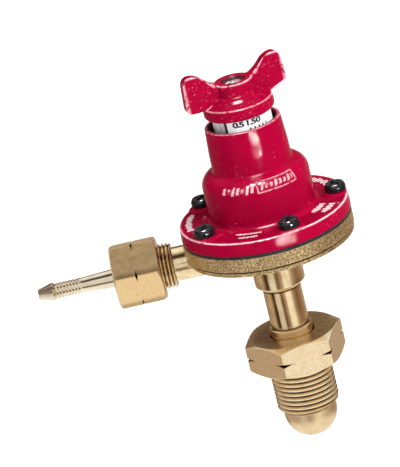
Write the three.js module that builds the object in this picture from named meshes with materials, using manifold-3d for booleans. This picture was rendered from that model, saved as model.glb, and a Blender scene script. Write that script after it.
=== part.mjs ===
// Adjustable single-stage fuel-gas regulator with a bull-nose cylinder connection.
// Millimetres, +Z up. The origin is the centre of the bull nose's flat end face.
// The adjusting knob, the diaphragm stack and the inlet share the Z axis. The outlet points along -X.
import * as THREE from "three";
import { mergeVertices } from "three/addons/utils/BufferGeometryUtils.js";
import Module from "manifold-3d";

const wasm = await Module();
wasm.setup();

// ---- Driving dimensions ----------------------------------------------------------------------

// Facets round the large, middling and small turned pieces, and round the screws and their holes.
const ROUND = 32;
const MEDIUM = 24;
const SMALL = 16;
const SCREW_FACETS = 12;
const RUNNING = 0.1; // clearance of pieces that turn or slide in each other
const SEATING = 0.05; // gap between pieces that rest on each other
const BEYOND = 1; // how far a cutting solid reaches past what it cuts

// Left-hand British Standard Pipe threads: major radius, pitch and thread depth.
const G58 = { major: 11.456, pitch: 1.814, depth: 1.162 };
const G38 = { major: 8.331, pitch: 1.337, depth: 0.856 };

// The bull nose and its stem.
const NOSE_RADIUS = 9.7;
const NOSE_FLAT_RADIUS = 4;
const NOSE_TOP = 11;
const STEM_SHOULDER = { radius: 7.75, top: 43.2 };
const STEM_RADIUS = 7;
const STEM_TOP = 58.6;
const SPIGOT = { radius: 5.8, top: 67 };
const STEM_BORE = 2.4;
const FILTER = { radius: 3.1, length: 7 };

// The inlet nut: a 31.75 mm hexagon over a G5/8 left-hand thread.
const INLET_NUT = {
  acrossFlats: 31.75,
  bottom: 11.3,
  hexBottom: 28.65,
  hexTop: 40.6,
  relief: 0.9,
  bore: 8.1,
  cornerAt: 12.2,
  notchRadius: 17,
};
const SEAL = { inner: 6, outer: 7.15 };
const THRUST_WASHER = { inner: 8, outer: 9.3, bottom: 11.35, top: 12.2 };

// The brass body.
const BODY = { radius: 30.6, top: 82.5, edgeBottom: 77.4, lipRadius: 30.3, bottom: 75.6 };
const LIP_CHAMFER = { radial: 1.6, height: 0.6 };
const BOSS = { radius: 9.1, bottom: 59, chamferRadial: 1.7, chamferHeight: 1.2, rootFillet: 2.2 };
const RECESS = { radius: 20, floor: 79.6 };
const SEAT = {
  bore: 1.5,
  lipRadius: 2,
  lipBottom: 73.5,
  flange: 4.6,
  flangeBottom: 74.1,
  radius: 3.6,
  top: 78.6,
};
const CHAMBER = { radius: 4.8, bottom: 68, top: 75 };
const OUTLET_DRILLING = { radius: 1.8, x: -13 };

// The outlet, measured out from the Z axis along -X.
const OUTLET_HEIGHT = 75.3;
const OUTLET = {
  stubRadius: 6.25,
  threadStart: 35.3,
  end: 49,
  bore: 2.5,
  innerEnd: 10,
  coneDepth: 4,
  coneMouth: 6.4,
};
const UNION_NUT = {
  acrossFlats: 22,
  start: 40.2,
  end: 57,
  wall: 54.5,
  bore: 3.6,
  cornerAt: -74.4,
  notchRadius: 11.6,
};
const TAIL = {
  coneStart: 46.2,
  coneEnd: 48.9,
  coneRadius: 5.9,
  collarStart: 51,
  collarEnd: 54.4,
  collarRadius: 7.4,
  shank: 3.3,
  neck: 2.6,
  barbAt: 79.4,
  tip: 85,
  tipRadius: 1.75,
  bore: 1.2,
  wideBore: 1.6,
};
const SERRATIONS = { count: 8, pitch: 1.15, start: 69.5, crest: 2.9 };

// The diaphragm and the pieces clamped to it.
const DIAPHRAGM = { radius: 30.6, bottom: 82.5, top: 83.6 };
const STUD = { radius: 2.4, top: 88.6 };
const PLATE = { radius: 14.5, thickness: 1.2, rimHeight: 2.2, corner: 0.9 };
const PUSHER = { radius: 9, bottom: 81 };
const STACK_NUT = { acrossFlats: 8, height: 3 };

// The valve plug, its push stem, its rubber pad and its spring.
const POPPET = {
  bottom: 69.6,
  guide: 1.7,
  flangeBottom: 71,
  flangeTop: 72.2,
  flange: 3.4,
  stem: 0.9,
  top: 80.9,
};
const VALVE_PAD = { inner: 1, outer: 3.2, bottom: 72.25, top: 73.45 };
const VALVE_SPRING = { radius: 2.7, wire: 0.3, bottom: 67.05, top: 70.95, turns: 4 };

// The red bonnet.
const FLANGE = { radius: 30.75, bottom: 83.6, top: 88.5, corner: 0.8 };
const BULGE = { radius: 19.25, shoulder: 5.2, shoulderHeight: 100.8, foot: 1.5 };
const NECK = { radius: 14.2, bottom: 106.4, middle: 113 };
const RIM = { top: 122.3, outer: 13.6, inner: 11.8, corner: 0.4 };
const SPRING_ROOM = { radius: 16, bottom: 88, shoulder: 101, top: 104.2, topRadius: 13.2 };
const ADJUSTER = { radius: 10, top: 113.3, bottom: 104.5 }; // M20 x 1.5
const VENT = { radius: 1.2, height: 95 };

// Five flange screws.
const SCREW_COUNT = 5;
const SCREW = {
  circle: 26.5,
  shank: 1.95,
  hole: 2.15,
  head: 3.8,
  headBottom: 89.35,
  headTop: 92.2,
  end: 77.6,
};
const SCREW_SLOT = { width: 1.1, depth: 0.8, turn: 35 };
const PAD = { radius: 5.2, top: 89.3, corner: 0.6 };

// The adjusting knob.
const SKIRT = { bottom: 125.9, radius: 12.65, top: 130.8 };
const HUB = { radius: 6.9, top: 137.8, recessRadius: 4.1, recessFloor: 134.5 };
const WING = { thickness: 4, bevel: 0.9, azimuth: 16.7, reach: 18.9, top: 143.6, bottom: 130.4 };
const KNOB_SCREW = { radius: 1.9, bottom: 124.5, head: 3.7, headTop: 136.7 };
const BARREL = { bottom: 96, shoulder: 116.9, plainRadius: 10.3, top: 129.2, inner: 8, roof: 123, hole: 2 };
const LABEL = { inner: 10.35, outer: 10.65, bottom: 117.2, top: 126.6, from: -120, to: 150 };
const BUTTON = { bottom: 117.4, spigot: 4.9, plate: 119.5, gap: 0.2 };
const RANGE_SPRING = { radius: 6.4, wire: 1.05, bottom: 84.9, top: 119.4, turns: 7 };

// ---- Solids ------------------------------------------------------------------------------------

const rad = THREE.MathUtils.degToRad;

// A turned piece about +Z. The profile's [radius, z] points run up the outside.
function turned(profile, facets = ROUND) {
  const points = profile.map(([r, z]) => new THREE.Vector2(r, z));
  return new THREE.LatheGeometry(points, facets).rotateX(Math.PI / 2);
}

// A turned ring: the same profile, closed on itself.
function ring(profile, facets = ROUND) {
  return turned([...profile, profile[0]], facets);
}

function tube(inner, outer, bottom, top, facets = ROUND) {
  return ring([[inner, bottom], [outer, bottom], [outer, top], [inner, top]], facets);
}

function rod(radius, bottom, top, facets = SMALL) {
  return turned([[0, bottom], [radius, bottom], [radius, top], [0, top]], facets);
}

function hexagon(acrossFlats, cornerAt, bottom, top) {
  const radius = acrossFlats / Math.sqrt(3);
  const corners = [0, 1, 2, 3, 4, 5].map((i) => {
    const angle = rad(cornerAt + 60 * i);
    return new THREE.Vector2(radius * Math.cos(angle), radius * Math.sin(angle));
  });
  const options = { depth: top - bottom, bevelEnabled: false };
  return new THREE.ExtrudeGeometry(new THREE.Shape(corners), options).translate(0, 0, bottom);
}

// The [radius, z] points of rings standing for a thread, from one height to another.
function threadRidges({ major, pitch, depth }, from, to) {
  const turns = Math.floor((to - from) / pitch);
  const points = [];
  for (let i = 0; i < turns; i++) {
    points.push([major - depth, from + i * pitch]);
    points.push([major, from + (i + 0.5) * pitch]);
  }
  points.push([major - depth, from + turns * pitch]);
  return points;
}

// Evenly spaced [radius, z] points of an arc about (centreR, centreZ), in degrees from the radial direction.
function arc(centreR, centreZ, radius, from, to, steps) {
  return Array.from({ length: steps + 1 }, (_, i) => {
    const angle = rad(from + ((to - from) * i) / steps);
    return [centreR + radius * Math.cos(angle), centreZ + radius * Math.sin(angle)];
  });
}

class Helix extends THREE.Curve {
  constructor(radius, bottom, height, turns) {
    super();
    Object.assign(this, { radius, bottom, height, turns });
  }

  // The end coils lie closer together than the middle ones.
  getPoint(t, target = new THREE.Vector3()) {
    const closing = 0.6;
    const angle = 2 * Math.PI * this.turns * t;
    const eased = t - (closing * Math.sin(2 * Math.PI * t)) / (2 * Math.PI);
    const z = this.bottom + this.height * eased;
    return target.set(this.radius * Math.cos(angle), this.radius * Math.sin(angle), z);
  }
}

function coilSpring({ radius, wire, bottom, top, turns }) {
  const path = new Helix(radius, bottom + wire, top - bottom - 2 * wire, turns);
  const circle = new THREE.Shape();
  circle.absarc(0, 0, wire, 0, 2 * Math.PI);
  const stepsPerTurn = 10;
  return new THREE.ExtrudeGeometry(circle, {
    steps: turns * stepsPerTurn,
    curveSegments: 3,
    bevelEnabled: false,
    extrudePath: path,
  });
}

// Lays a piece built along +Z onto the outlet axis, so that +Z becomes -X.
function alongOutlet(geometry) {
  return geometry.rotateY(-Math.PI / 2).translate(0, 0, OUTLET_HEIGHT);
}

// A closed geometry as a solid that can be joined and cut.
function solid(geometry) {
  const bare = geometry.index ? geometry.toNonIndexed() : geometry.clone();
  bare.deleteAttribute("normal");
  bare.deleteAttribute("uv");
  const merged = mergeVertices(bare, 1e-4);
  const index = merged.index.array;
  const kept = [];
  for (let i = 0; i < index.length; i += 3) {
    const [a, b, c] = index.slice(i, i + 3);
    if (a !== b && b !== c && c !== a) kept.push(a, b, c);
  }
  const vertProperties = new Float32Array(merged.attributes.position.array);
  const triVerts = new Uint32Array(kept);
  return new wasm.Manifold(new wasm.Mesh({ numProp: 3, vertProperties, triVerts }));
}

function joined(...geometries) {
  return geometries.map(solid).reduce((whole, other) => whole.add(other));
}

function cut(whole, ...geometries) {
  return geometries.map(solid).reduce((left, tool) => left.subtract(tool), whole);
}

function surfaceOf(manifold) {
  const { numProp, vertProperties, triVerts } = manifold.getMesh();
  const position = new Float32Array((vertProperties.length / numProp) * 3);
  for (let i = 0; i < position.length / 3; i++) {
    position.set(vertProperties.subarray(i * numProp, i * numProp + 3), i * 3);
  }
  const geometry = new THREE.BufferGeometry();
  geometry.setAttribute("position", new THREE.BufferAttribute(position, 3));
  geometry.setIndex(new THREE.BufferAttribute(new Uint32Array(triVerts), 1));
  const flat = geometry.toNonIndexed();
  flat.computeVertexNormals();
  return flat;
}

// ---- Materials ---------------------------------------------------------------------------------

const FINISHES = {
  red_paint: { color: 0xb80032, roughness: 0.25, metalness: 0 },
  brass: { color: 0xd2b06a, roughness: 0.35, metalness: 1 },
  rough_brass: { color: 0xb99a5c, roughness: 0.6, metalness: 1 },
  black_screw: { color: 0x141416, roughness: 0.4, metalness: 0.6 },
  grey_metal: { color: 0xa9abad, roughness: 0.45, metalness: 0.9 },
  spring_steel: { color: 0x8d8f92, roughness: 0.35, metalness: 1 },
  black_rubber: { color: 0x161616, roughness: 0.8, metalness: 0 },
  white_label: { color: 0xf2f2ee, roughness: 0.6, metalness: 0 },
  red_fibre: { color: 0x6e3b2c, roughness: 0.9, metalness: 0 },
  sintered_bronze: { color: 0xa17a45, roughness: 0.8, metalness: 0.8 },
};

function piece(name, finish, shape) {
  const geometry = shape.isBufferGeometry ? shape : surfaceOf(shape);
  const made = new THREE.Mesh(geometry, new THREE.MeshStandardMaterial(FINISHES[finish]));
  made.name = name;
  return made;
}

// ---- Inlet -------------------------------------------------------------------------------------

function inletStem() {
  const noseCentre = Math.sqrt(NOSE_RADIUS ** 2 - NOSE_FLAT_RADIUS ** 2);
  const flatEdge = -(Math.acos(NOSE_FLAT_RADIUS / NOSE_RADIUS) * 180) / Math.PI;
  const pocket = FILTER.radius + RUNNING;
  const chamfer = 0.4;
  const pocketEnd = FILTER.length + chamfer;
  return ring([
    [pocket, 0],
    ...arc(0, noseCentre, NOSE_RADIUS, flatEdge, 0, 6),
    [NOSE_RADIUS, NOSE_TOP],
    [STEM_SHOULDER.radius, NOSE_TOP],
    [STEM_SHOULDER.radius, STEM_SHOULDER.top - chamfer],
    [STEM_RADIUS, STEM_SHOULDER.top],
    [STEM_RADIUS, STEM_TOP],
    [SPIGOT.radius, STEM_TOP],
    [SPIGOT.radius, SPIGOT.top],
    [STEM_BORE, SPIGOT.top],
    [STEM_BORE, pocketEnd],
    [pocket, pocketEnd],
  ], MEDIUM);
}

// A hexagon with ends chamfered at 30 degrees and a shallow groove that only crosses its corners.
function leftHandHex({ acrossFlats, cornerAt, notchRadius }, bottom, top) {
  const face = acrossFlats / 2;
  const corner = acrossFlats / Math.sqrt(3);
  const beyond = corner + BEYOND;
  const slope = Math.tan(rad(30));
  const fall = (beyond - face) * slope;
  const turnedEnds = turned([
    [0, bottom],
    [face, bottom],
    [beyond, bottom + fall],
    [beyond, top - fall],
    [face, top],
    [0, top],
  ]);
  const middle = (bottom + top) / 2;
  const half = (corner - face) * slope * 0.75;
  const groove = ring([
    [notchRadius, middle],
    [beyond, middle - half],
    [beyond, middle + half],
  ]);
  const blank = solid(hexagon(acrossFlats, cornerAt, bottom, top));
  return blank.intersect(solid(turnedEnds)).subtract(solid(groove));
}

function inletNut() {
  const { bottom, hexBottom, hexTop, bore, relief } = INLET_NUT;
  const root = G58.major - G58.depth;
  const thread = turned([
    [0, bottom],
    [root, bottom],
    ...threadRidges(G58, bottom + 0.2, hexBottom - relief),
    [root, hexBottom + BEYOND],
    [0, hexBottom + BEYOND],
  ], MEDIUM);
  const hex = leftHandHex(INLET_NUT, hexBottom, hexTop);
  const counterbore = THRUST_WASHER.outer + RUNNING;
  return cut(
    hex.add(solid(thread)),
    rod(bore, bottom - BEYOND, hexTop + BEYOND, MEDIUM),
    rod(counterbore, bottom - BEYOND, THRUST_WASHER.top + RUNNING, MEDIUM),
  );
}

// ---- Body --------------------------------------------------------------------------------------

// The five screw holes as cutting rods, between two heights.
function screwHoles(bottom, top) {
  return screwAngles().map((angle) => onScrewCircle(rod(SCREW.hole, bottom, top, SCREW_FACETS), angle));
}

function body() {
  const rootStart = BODY.bottom - LIP_CHAMFER.height - BOSS.rootFillet;
  const disc = turned([
    [0, BOSS.bottom],
    [BOSS.radius - BOSS.chamferRadial, BOSS.bottom],
    [BOSS.radius, BOSS.bottom + BOSS.chamferHeight],
    ...arc(BOSS.radius + BOSS.rootFillet, rootStart, BOSS.rootFillet, 180, 90, 3),
    [BODY.lipRadius - LIP_CHAMFER.radial, BODY.bottom - LIP_CHAMFER.height],
    [BODY.lipRadius, BODY.bottom],
    [BODY.lipRadius, BODY.edgeBottom - 0.5],
    [BODY.lipRadius - 0.6, BODY.edgeBottom - 0.25],
    [BODY.radius, BODY.edgeBottom],
    [BODY.radius, BODY.top - SEATING],
    [0, BODY.top - SEATING],
  ]);
  const threadRoot = G38.major - G38.depth;
  const hidden = BOSS.radius - 2;
  const outlet = alongOutlet(turned([
    [0, hidden],
    [OUTLET.stubRadius, hidden],
    [OUTLET.stubRadius, OUTLET.threadStart],
    [threadRoot, OUTLET.threadStart],
    ...threadRidges(G38, OUTLET.threadStart + 0.1, OUTLET.end - 0.2),
    [threadRoot, OUTLET.end],
    [0, OUTLET.end],
  ], SMALL));
  const gallery = alongOutlet(rod(OUTLET.bore, OUTLET.innerEnd, OUTLET.end + BEYOND));
  const cone = alongOutlet(turned([
    [0, OUTLET.end - OUTLET.coneDepth],
    [OUTLET.bore, OUTLET.end - OUTLET.coneDepth],
    [OUTLET.coneMouth, OUTLET.end + RUNNING],
    [0, OUTLET.end + RUNNING],
  ], SMALL));
  const recess = rod(RECESS.radius, RECESS.floor, BODY.top + BEYOND, ROUND);
  const drilling = rod(OUTLET_DRILLING.radius, OUTLET_HEIGHT, RECESS.floor + BEYOND)
    .translate(OUTLET_DRILLING.x, 0, 0);
  const inletBores = turned([
    [0, BOSS.bottom - BEYOND],
    [SPIGOT.radius + RUNNING, BOSS.bottom - BEYOND],
    [SPIGOT.radius + RUNNING, CHAMBER.bottom],
    [CHAMBER.radius, CHAMBER.bottom],
    [CHAMBER.radius, CHAMBER.top],
    [SEAT.radius, CHAMBER.top],
    [SEAT.radius, RECESS.floor + BEYOND],
    [0, RECESS.floor + BEYOND],
  ], MEDIUM);
  const holes = screwHoles(SCREW.end - 0.6, BODY.top + BEYOND);
  return cut(joined(disc, outlet), recess, gallery, cone, drilling, inletBores, ...holes);
}

// ---- Valve -------------------------------------------------------------------------------------

function valveSeat() {
  return ring([
    [SEAT.bore, SEAT.lipBottom],
    [SEAT.lipRadius, SEAT.lipBottom],
    [SEAT.lipRadius + 0.4, SEAT.flangeBottom],
    [SEAT.flange, SEAT.flangeBottom],
    [SEAT.flange, CHAMBER.top - SEATING],
    [SEAT.radius - SEATING, CHAMBER.top - SEATING],
    [SEAT.radius - SEATING, SEAT.top],
    [SEAT.bore, SEAT.top],
  ], SMALL);
}

function valvePoppet() {
  return turned([
    [0, POPPET.bottom],
    [POPPET.guide, POPPET.bottom],
    [POPPET.guide, POPPET.flangeBottom],
    [POPPET.flange, POPPET.flangeBottom],
    [POPPET.flange, POPPET.flangeTop],
    [POPPET.stem, POPPET.flangeTop],
    [POPPET.stem, POPPET.top],
    [0, POPPET.top],
  ], SMALL);
}

// ---- Diaphragm stack ---------------------------------------------------------------------------

function diaphragm() {
  const sheet = solid(rod(DIAPHRAGM.radius, DIAPHRAGM.bottom, DIAPHRAGM.top - SEATING, ROUND));
  const bottom = DIAPHRAGM.bottom - BEYOND;
  const top = DIAPHRAGM.top + BEYOND;
  return cut(sheet, rod(STUD.radius + RUNNING, bottom, top), ...screwHoles(bottom, top));
}

function diaphragmPlate() {
  const bottom = DIAPHRAGM.top;
  const { radius, thickness, rimHeight, corner } = PLATE;
  return ring([
    [STUD.radius + RUNNING, bottom],
    [radius - corner, bottom],
    [radius, bottom + corner * 0.7],
    [radius, bottom + rimHeight],
    [radius - corner, bottom + rimHeight],
    [radius - corner - 0.5, bottom + thickness],
    [STUD.radius + RUNNING, bottom + thickness],
  ], MEDIUM);
}

function diaphragmPusher() {
  const plateTop = DIAPHRAGM.bottom - SEATING;
  const chamfer = 0.5;
  return turned([
    [0, PUSHER.bottom],
    [PUSHER.radius - chamfer, PUSHER.bottom],
    [PUSHER.radius, PUSHER.bottom + chamfer],
    [PUSHER.radius, plateTop],
    [STUD.radius, plateTop],
    [STUD.radius, STUD.top],
    [0, STUD.top],
  ], MEDIUM);
}

function diaphragmNut() {
  const bottom = DIAPHRAGM.top + PLATE.thickness + SEATING;
  const top = bottom + STACK_NUT.height;
  return cut(
    solid(hexagon(STACK_NUT.acrossFlats, 0, bottom, top)),
    rod(STUD.radius + RUNNING, bottom - BEYOND, top + BEYOND),
  );
}

// ---- Bonnet ------------------------------------------------------------------------------------

function screwAngles() {
  return Array.from({ length: SCREW_COUNT }, (_, i) => (360 / SCREW_COUNT) * i);
}

function onScrewCircle(geometry, angle) {
  return geometry.translate(SCREW.circle, 0, 0).rotateZ(rad(angle));
}

function bonnet() {
  const threadBore = ADJUSTER.radius + RUNNING;
  const { radius, shoulder, shoulderHeight, foot } = BULGE;
  const shell = ring([
    [RECESS.radius, FLANGE.bottom],
    [FLANGE.radius, FLANGE.bottom],
    [FLANGE.radius, FLANGE.top - FLANGE.corner],
    [FLANGE.radius - FLANGE.corner, FLANGE.top],
    [radius + foot, FLANGE.top],
    ...arc(radius + foot, FLANGE.top + foot, foot, 270, 180, 2).slice(1),
    ...arc(radius - shoulder, shoulderHeight, shoulder, 0, 75, 4),
    [NECK.radius, NECK.bottom],
    [NECK.radius - 0.05, NECK.middle],
    [RIM.outer, RIM.top - RIM.corner],
    [RIM.outer - RIM.corner, RIM.top],
    [RIM.inner, RIM.top],
    [RIM.inner, ADJUSTER.top],
    [threadBore, ADJUSTER.top],
    [threadBore, ADJUSTER.bottom],
    [SPRING_ROOM.topRadius, SPRING_ROOM.top],
    [SPRING_ROOM.radius, SPRING_ROOM.shoulder],
    [SPRING_ROOM.radius, SPRING_ROOM.bottom],
    [RECESS.radius, FLANGE.bottom + 1.2],
  ]);
  const pads = screwAngles().map((angle) => onScrewCircle(
    turned([
      [0, FLANGE.top - BEYOND],
      [PAD.radius, FLANGE.top - BEYOND],
      [PAD.radius, PAD.top - PAD.corner],
      [PAD.radius - PAD.corner, PAD.top],
      [0, PAD.top],
    ], SMALL),
    angle,
  ));
  const springRoom = rod(SPRING_ROOM.radius, FLANGE.bottom - BEYOND, SPRING_ROOM.bottom);
  const holes = screwHoles(FLANGE.bottom - BEYOND, PAD.top + BEYOND);
  const vent = rod(VENT.radius, radius - 7, radius + 2, SCREW_FACETS)
    .rotateX(-Math.PI / 2)
    .translate(0, 0, VENT.height);
  const flangeTop = solid(rod(FLANGE.radius - FLANGE.corner, FLANGE.bottom, PAD.top + BEYOND, ROUND));
  const casting = solid(shell).add(joined(...pads).intersect(flangeTop));
  return cut(casting, springRoom, vent, ...holes);
}

function flangeScrew(angle) {
  const { shank, head, headBottom, headTop, end } = SCREW;
  const blank = turned([
    [0, end],
    [shank, end],
    [shank, headBottom],
    [head, headBottom],
    [head, headTop - 1],
    [head * 0.75, headTop],
    [0, headTop],
  ], SCREW_FACETS);
  const slot = new THREE.BoxGeometry(SCREW_SLOT.width, 2 * head + BEYOND, 2 * SCREW_SLOT.depth)
    .rotateZ(rad(SCREW_SLOT.turn))
    .translate(0, 0, headTop);
  return onScrewCircle(surfaceOf(cut(solid(blank), slot)), angle);
}

// ---- Adjusting knob ----------------------------------------------------------------------------

function wingOutline() {
  const { reach, top, bottom } = WING;
  const outline = new THREE.Shape();
  outline.moveTo(0, bottom + 1);
  outline.lineTo(HUB.radius, bottom + 0.6);
  outline.quadraticCurveTo(13, bottom - 0.4, reach - 2, bottom);
  outline.quadraticCurveTo(reach, bottom + 0.3, reach, bottom + 2.4);
  outline.lineTo(reach - 0.5, top - 2.8);
  outline.quadraticCurveTo(reach - 1, top, reach - 3.4, top);
  outline.quadraticCurveTo(13.4, top - 0.1, 11.6, top - 1.8);
  outline.quadraticCurveTo(9, HUB.top + 1.6, HUB.radius - 0.5, HUB.top + 0.4);
  outline.lineTo(0, HUB.top);
  return outline;
}

function wing(turn) {
  const { thickness, bevel } = WING;
  const geometry = new THREE.ExtrudeGeometry(wingOutline(), {
    depth: thickness - 2 * bevel,
    curveSegments: 4,
    bevelThickness: bevel,
    bevelSize: bevel,
    bevelOffset: -bevel,
    bevelSegments: 2,
  });
  geometry.translate(0, 0, bevel - thickness / 2).rotateX(Math.PI / 2);
  return geometry.rotateZ(rad(WING.azimuth + turn));
}

function wingKnob() {
  const blank = turned([
    [0, SKIRT.bottom],
    [SKIRT.radius - 1.1, SKIRT.bottom],
    [SKIRT.radius, SKIRT.bottom + 1.2],
    [SKIRT.radius, SKIRT.top - 1.2],
    [SKIRT.radius - 0.4, SKIRT.top],
    [SKIRT.radius - 3.4, SKIRT.top + 1],
    [HUB.radius + 0.4, SKIRT.top + 1.9],
    [HUB.radius, SKIRT.top + 2.6],
    [HUB.radius, HUB.top - 0.5],
    [HUB.radius - 0.5, HUB.top],
    [0, HUB.top],
  ]);
  const pocket = rod(LABEL.outer + 0.25, SKIRT.bottom - BEYOND, BARREL.top + RUNNING, ROUND);
  const recess = rod(HUB.recessRadius, HUB.recessFloor, WING.top);
  const hole = rod(KNOB_SCREW.radius + 2 * RUNNING, SKIRT.bottom, HUB.top);
  return cut(joined(blank, wing(0), wing(180)), pocket, recess, hole);
}

function knobScrew() {
  const { radius, bottom, head, headTop } = KNOB_SCREW;
  const seat = HUB.recessFloor + SEATING;
  const blank = turned([
    [0, bottom],
    [radius, bottom],
    [radius, seat],
    [head, seat],
    [head, headTop - 0.6],
    [head - 0.7, headTop],
    [0, headTop],
  ], SMALL);
  const slot = new THREE.BoxGeometry(0.9, 2 * head + BEYOND, 1.4).rotateZ(rad(20)).translate(0, 0, headTop);
  return cut(solid(blank), slot);
}

function adjustingBarrel() {
  const { inner, bottom, shoulder, plainRadius, top, roof, hole } = BARREL;
  return ring([
    [inner, bottom],
    [ADJUSTER.radius, bottom],
    [ADJUSTER.radius, shoulder],
    [plainRadius, shoulder],
    [plainRadius, top],
    [hole, top],
    [hole, roof],
    [inner, roof],
  ], MEDIUM);
}

// A printed strip wrapped most of the way round the barrel.
function dialLabel() {
  const { inner, outer, bottom, top, from, to } = LABEL;
  const band = new THREE.Shape();
  band.absarc(0, 0, outer, rad(from), rad(to), false);
  band.absarc(0, 0, inner, rad(to), rad(from), true);
  return new THREE.ExtrudeGeometry(band, { depth: top - bottom, bevelEnabled: false, curveSegments: 16 })
    .translate(0, 0, bottom);
}

function springButton() {
  const top = BARREL.roof - BUTTON.gap;
  const plateRadius = BARREL.inner - 0.3;
  const chamfer = 0.4;
  return turned([
    [0, BUTTON.bottom],
    [BUTTON.spigot - chamfer, BUTTON.bottom],
    [BUTTON.spigot, BUTTON.bottom + chamfer],
    [BUTTON.spigot, BUTTON.plate],
    [plateRadius, BUTTON.plate],
    [plateRadius, top - chamfer],
    [plateRadius - chamfer, top],
    [0, top],
  ], MEDIUM);
}

// ---- Outlet union ------------------------------------------------------------------------------

function unionNut() {
  const { start, end, wall, bore } = UNION_NUT;
  const threadBore = rod(G38.major + RUNNING, start - BEYOND, wall, MEDIUM);
  const tailHole = rod(bore, wall - BEYOND, end + BEYOND);
  return alongOutlet(surfaceOf(cut(leftHandHex(UNION_NUT, start, end), threadBore, tailHole)));
}

function hoseTail() {
  const { count, pitch, start, crest } = SERRATIONS;
  const { wideBore, bore, shank, neck, barbAt, tip, tipRadius } = TAIL;
  const serrations = Array.from({ length: count }, (_, i) => [
    [crest, start + i * pitch + 0.1],
    [neck, start + (i + 1) * pitch - 0.1],
  ]).flat();
  return alongOutlet(ring([
    [wideBore, TAIL.coneStart],
    [shank, TAIL.coneStart],
    [TAIL.coneRadius, TAIL.coneEnd],
    [TAIL.coneRadius, TAIL.collarStart],
    [TAIL.collarRadius, TAIL.collarStart],
    [TAIL.collarRadius, TAIL.collarEnd],
    [shank, TAIL.collarEnd],
    [shank, UNION_NUT.end],
    [neck, start - 0.1],
    ...serrations,
    [neck, barbAt - 0.5],
    [shank, barbAt],
    [tipRadius, tip],
    [bore, tip],
    [bore, start],
    [wideBore, start - 1],
  ], SMALL));
}

// ---- The assembly ------------------------------------------------------------------------------

const regulator = new THREE.Group();

const inlet = new THREE.Group();
inlet.add(piece("inlet_stem", "brass", inletStem()));
inlet.add(piece("inlet_filter", "sintered_bronze", rod(FILTER.radius, 0, FILTER.length)));
inlet.add(piece("stem_seal", "red_fibre", tube(
  SEAL.inner,
  SEAL.outer,
  STEM_TOP + SEATING,
  BOSS.bottom - SEATING,
  MEDIUM,
)));
inlet.add(piece("thrust_washer", "grey_metal", tube(
  THRUST_WASHER.inner,
  THRUST_WASHER.outer,
  THRUST_WASHER.bottom,
  THRUST_WASHER.top,
  MEDIUM,
)));
inlet.add(piece("inlet_nut", "brass", inletNut()));

const valve = new THREE.Group();
valve.add(piece("body", "rough_brass", body()));
valve.add(piece("valve_seat", "brass", valveSeat()));
valve.add(piece("valve_poppet", "brass", valvePoppet()));
valve.add(piece("valve_pad", "black_rubber", tube(
  VALVE_PAD.inner,
  VALVE_PAD.outer,
  VALVE_PAD.bottom,
  VALVE_PAD.top,
  SMALL,
)));
valve.add(piece("valve_spring", "spring_steel", coilSpring(VALVE_SPRING)));

const stack = new THREE.Group();
stack.add(piece("diaphragm", "black_rubber", diaphragm()));
stack.add(piece("diaphragm_plate", "grey_metal", diaphragmPlate()));
stack.add(piece("diaphragm_pusher", "brass", diaphragmPusher()));
stack.add(piece("diaphragm_nut", "grey_metal", diaphragmNut()));

const cover = new THREE.Group();
cover.add(piece("bonnet", "red_paint", bonnet()));
screwAngles().forEach((angle, i) => {
  cover.add(piece(`flange_screw_${i + 1}`, "black_screw", flangeScrew(angle)));
});

const adjuster = new THREE.Group();
adjuster.add(piece("wing_knob", "red_paint", wingKnob()));
adjuster.add(piece("knob_screw", "grey_metal", knobScrew()));
adjuster.add(piece("adjusting_barrel", "grey_metal", adjustingBarrel()));
adjuster.add(piece("dial_label", "white_label", dialLabel()));
adjuster.add(piece("spring_button", "grey_metal", springButton()));
adjuster.add(piece("range_spring", "spring_steel", coilSpring(RANGE_SPRING)));

const outletUnion = new THREE.Group();
outletUnion.add(piece("union_nut", "brass", unionNut()));
outletUnion.add(piece("hose_tail", "brass", hoseTail()));

regulator.add(inlet, valve, stack, cover, adjuster, outletUnion);

export default regulator;
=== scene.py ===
"""A gas regulator's finished look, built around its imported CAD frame.

Lengths are in millimetres until skin() or solid() turns them into a Blender mesh in metres.
The Z axis runs up through the inlet, the diaphragm and the knob, and the outlet points along -X.
"""

import math

import bmesh
import bpy
import numpy as np
from mathutils import Matrix, Vector


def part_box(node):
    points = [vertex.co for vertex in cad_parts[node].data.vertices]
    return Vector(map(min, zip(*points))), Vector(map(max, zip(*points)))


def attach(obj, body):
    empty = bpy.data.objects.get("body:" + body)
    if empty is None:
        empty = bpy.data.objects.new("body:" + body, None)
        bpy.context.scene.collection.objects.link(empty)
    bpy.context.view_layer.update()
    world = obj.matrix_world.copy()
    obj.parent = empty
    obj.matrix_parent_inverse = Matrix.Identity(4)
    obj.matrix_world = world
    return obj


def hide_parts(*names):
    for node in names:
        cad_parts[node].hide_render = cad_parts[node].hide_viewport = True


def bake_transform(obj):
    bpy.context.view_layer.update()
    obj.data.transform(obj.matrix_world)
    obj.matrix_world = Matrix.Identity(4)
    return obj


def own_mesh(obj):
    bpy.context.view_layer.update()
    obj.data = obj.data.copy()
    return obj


MM = 0.001
TURN = 2 * math.pi
radians = math.radians

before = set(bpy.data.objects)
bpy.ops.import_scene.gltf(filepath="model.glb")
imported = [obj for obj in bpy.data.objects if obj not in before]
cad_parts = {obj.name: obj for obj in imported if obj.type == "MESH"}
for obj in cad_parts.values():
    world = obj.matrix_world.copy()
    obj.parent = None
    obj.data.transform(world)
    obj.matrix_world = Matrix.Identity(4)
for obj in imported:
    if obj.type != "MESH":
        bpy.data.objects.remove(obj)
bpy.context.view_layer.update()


def span(node):
    """A CAD node's lowest and highest corner, in millimetres."""
    low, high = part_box(node)
    return low / MM, high / MM


# ---- Outlines ------------------------------------------------------------------------------------


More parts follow.
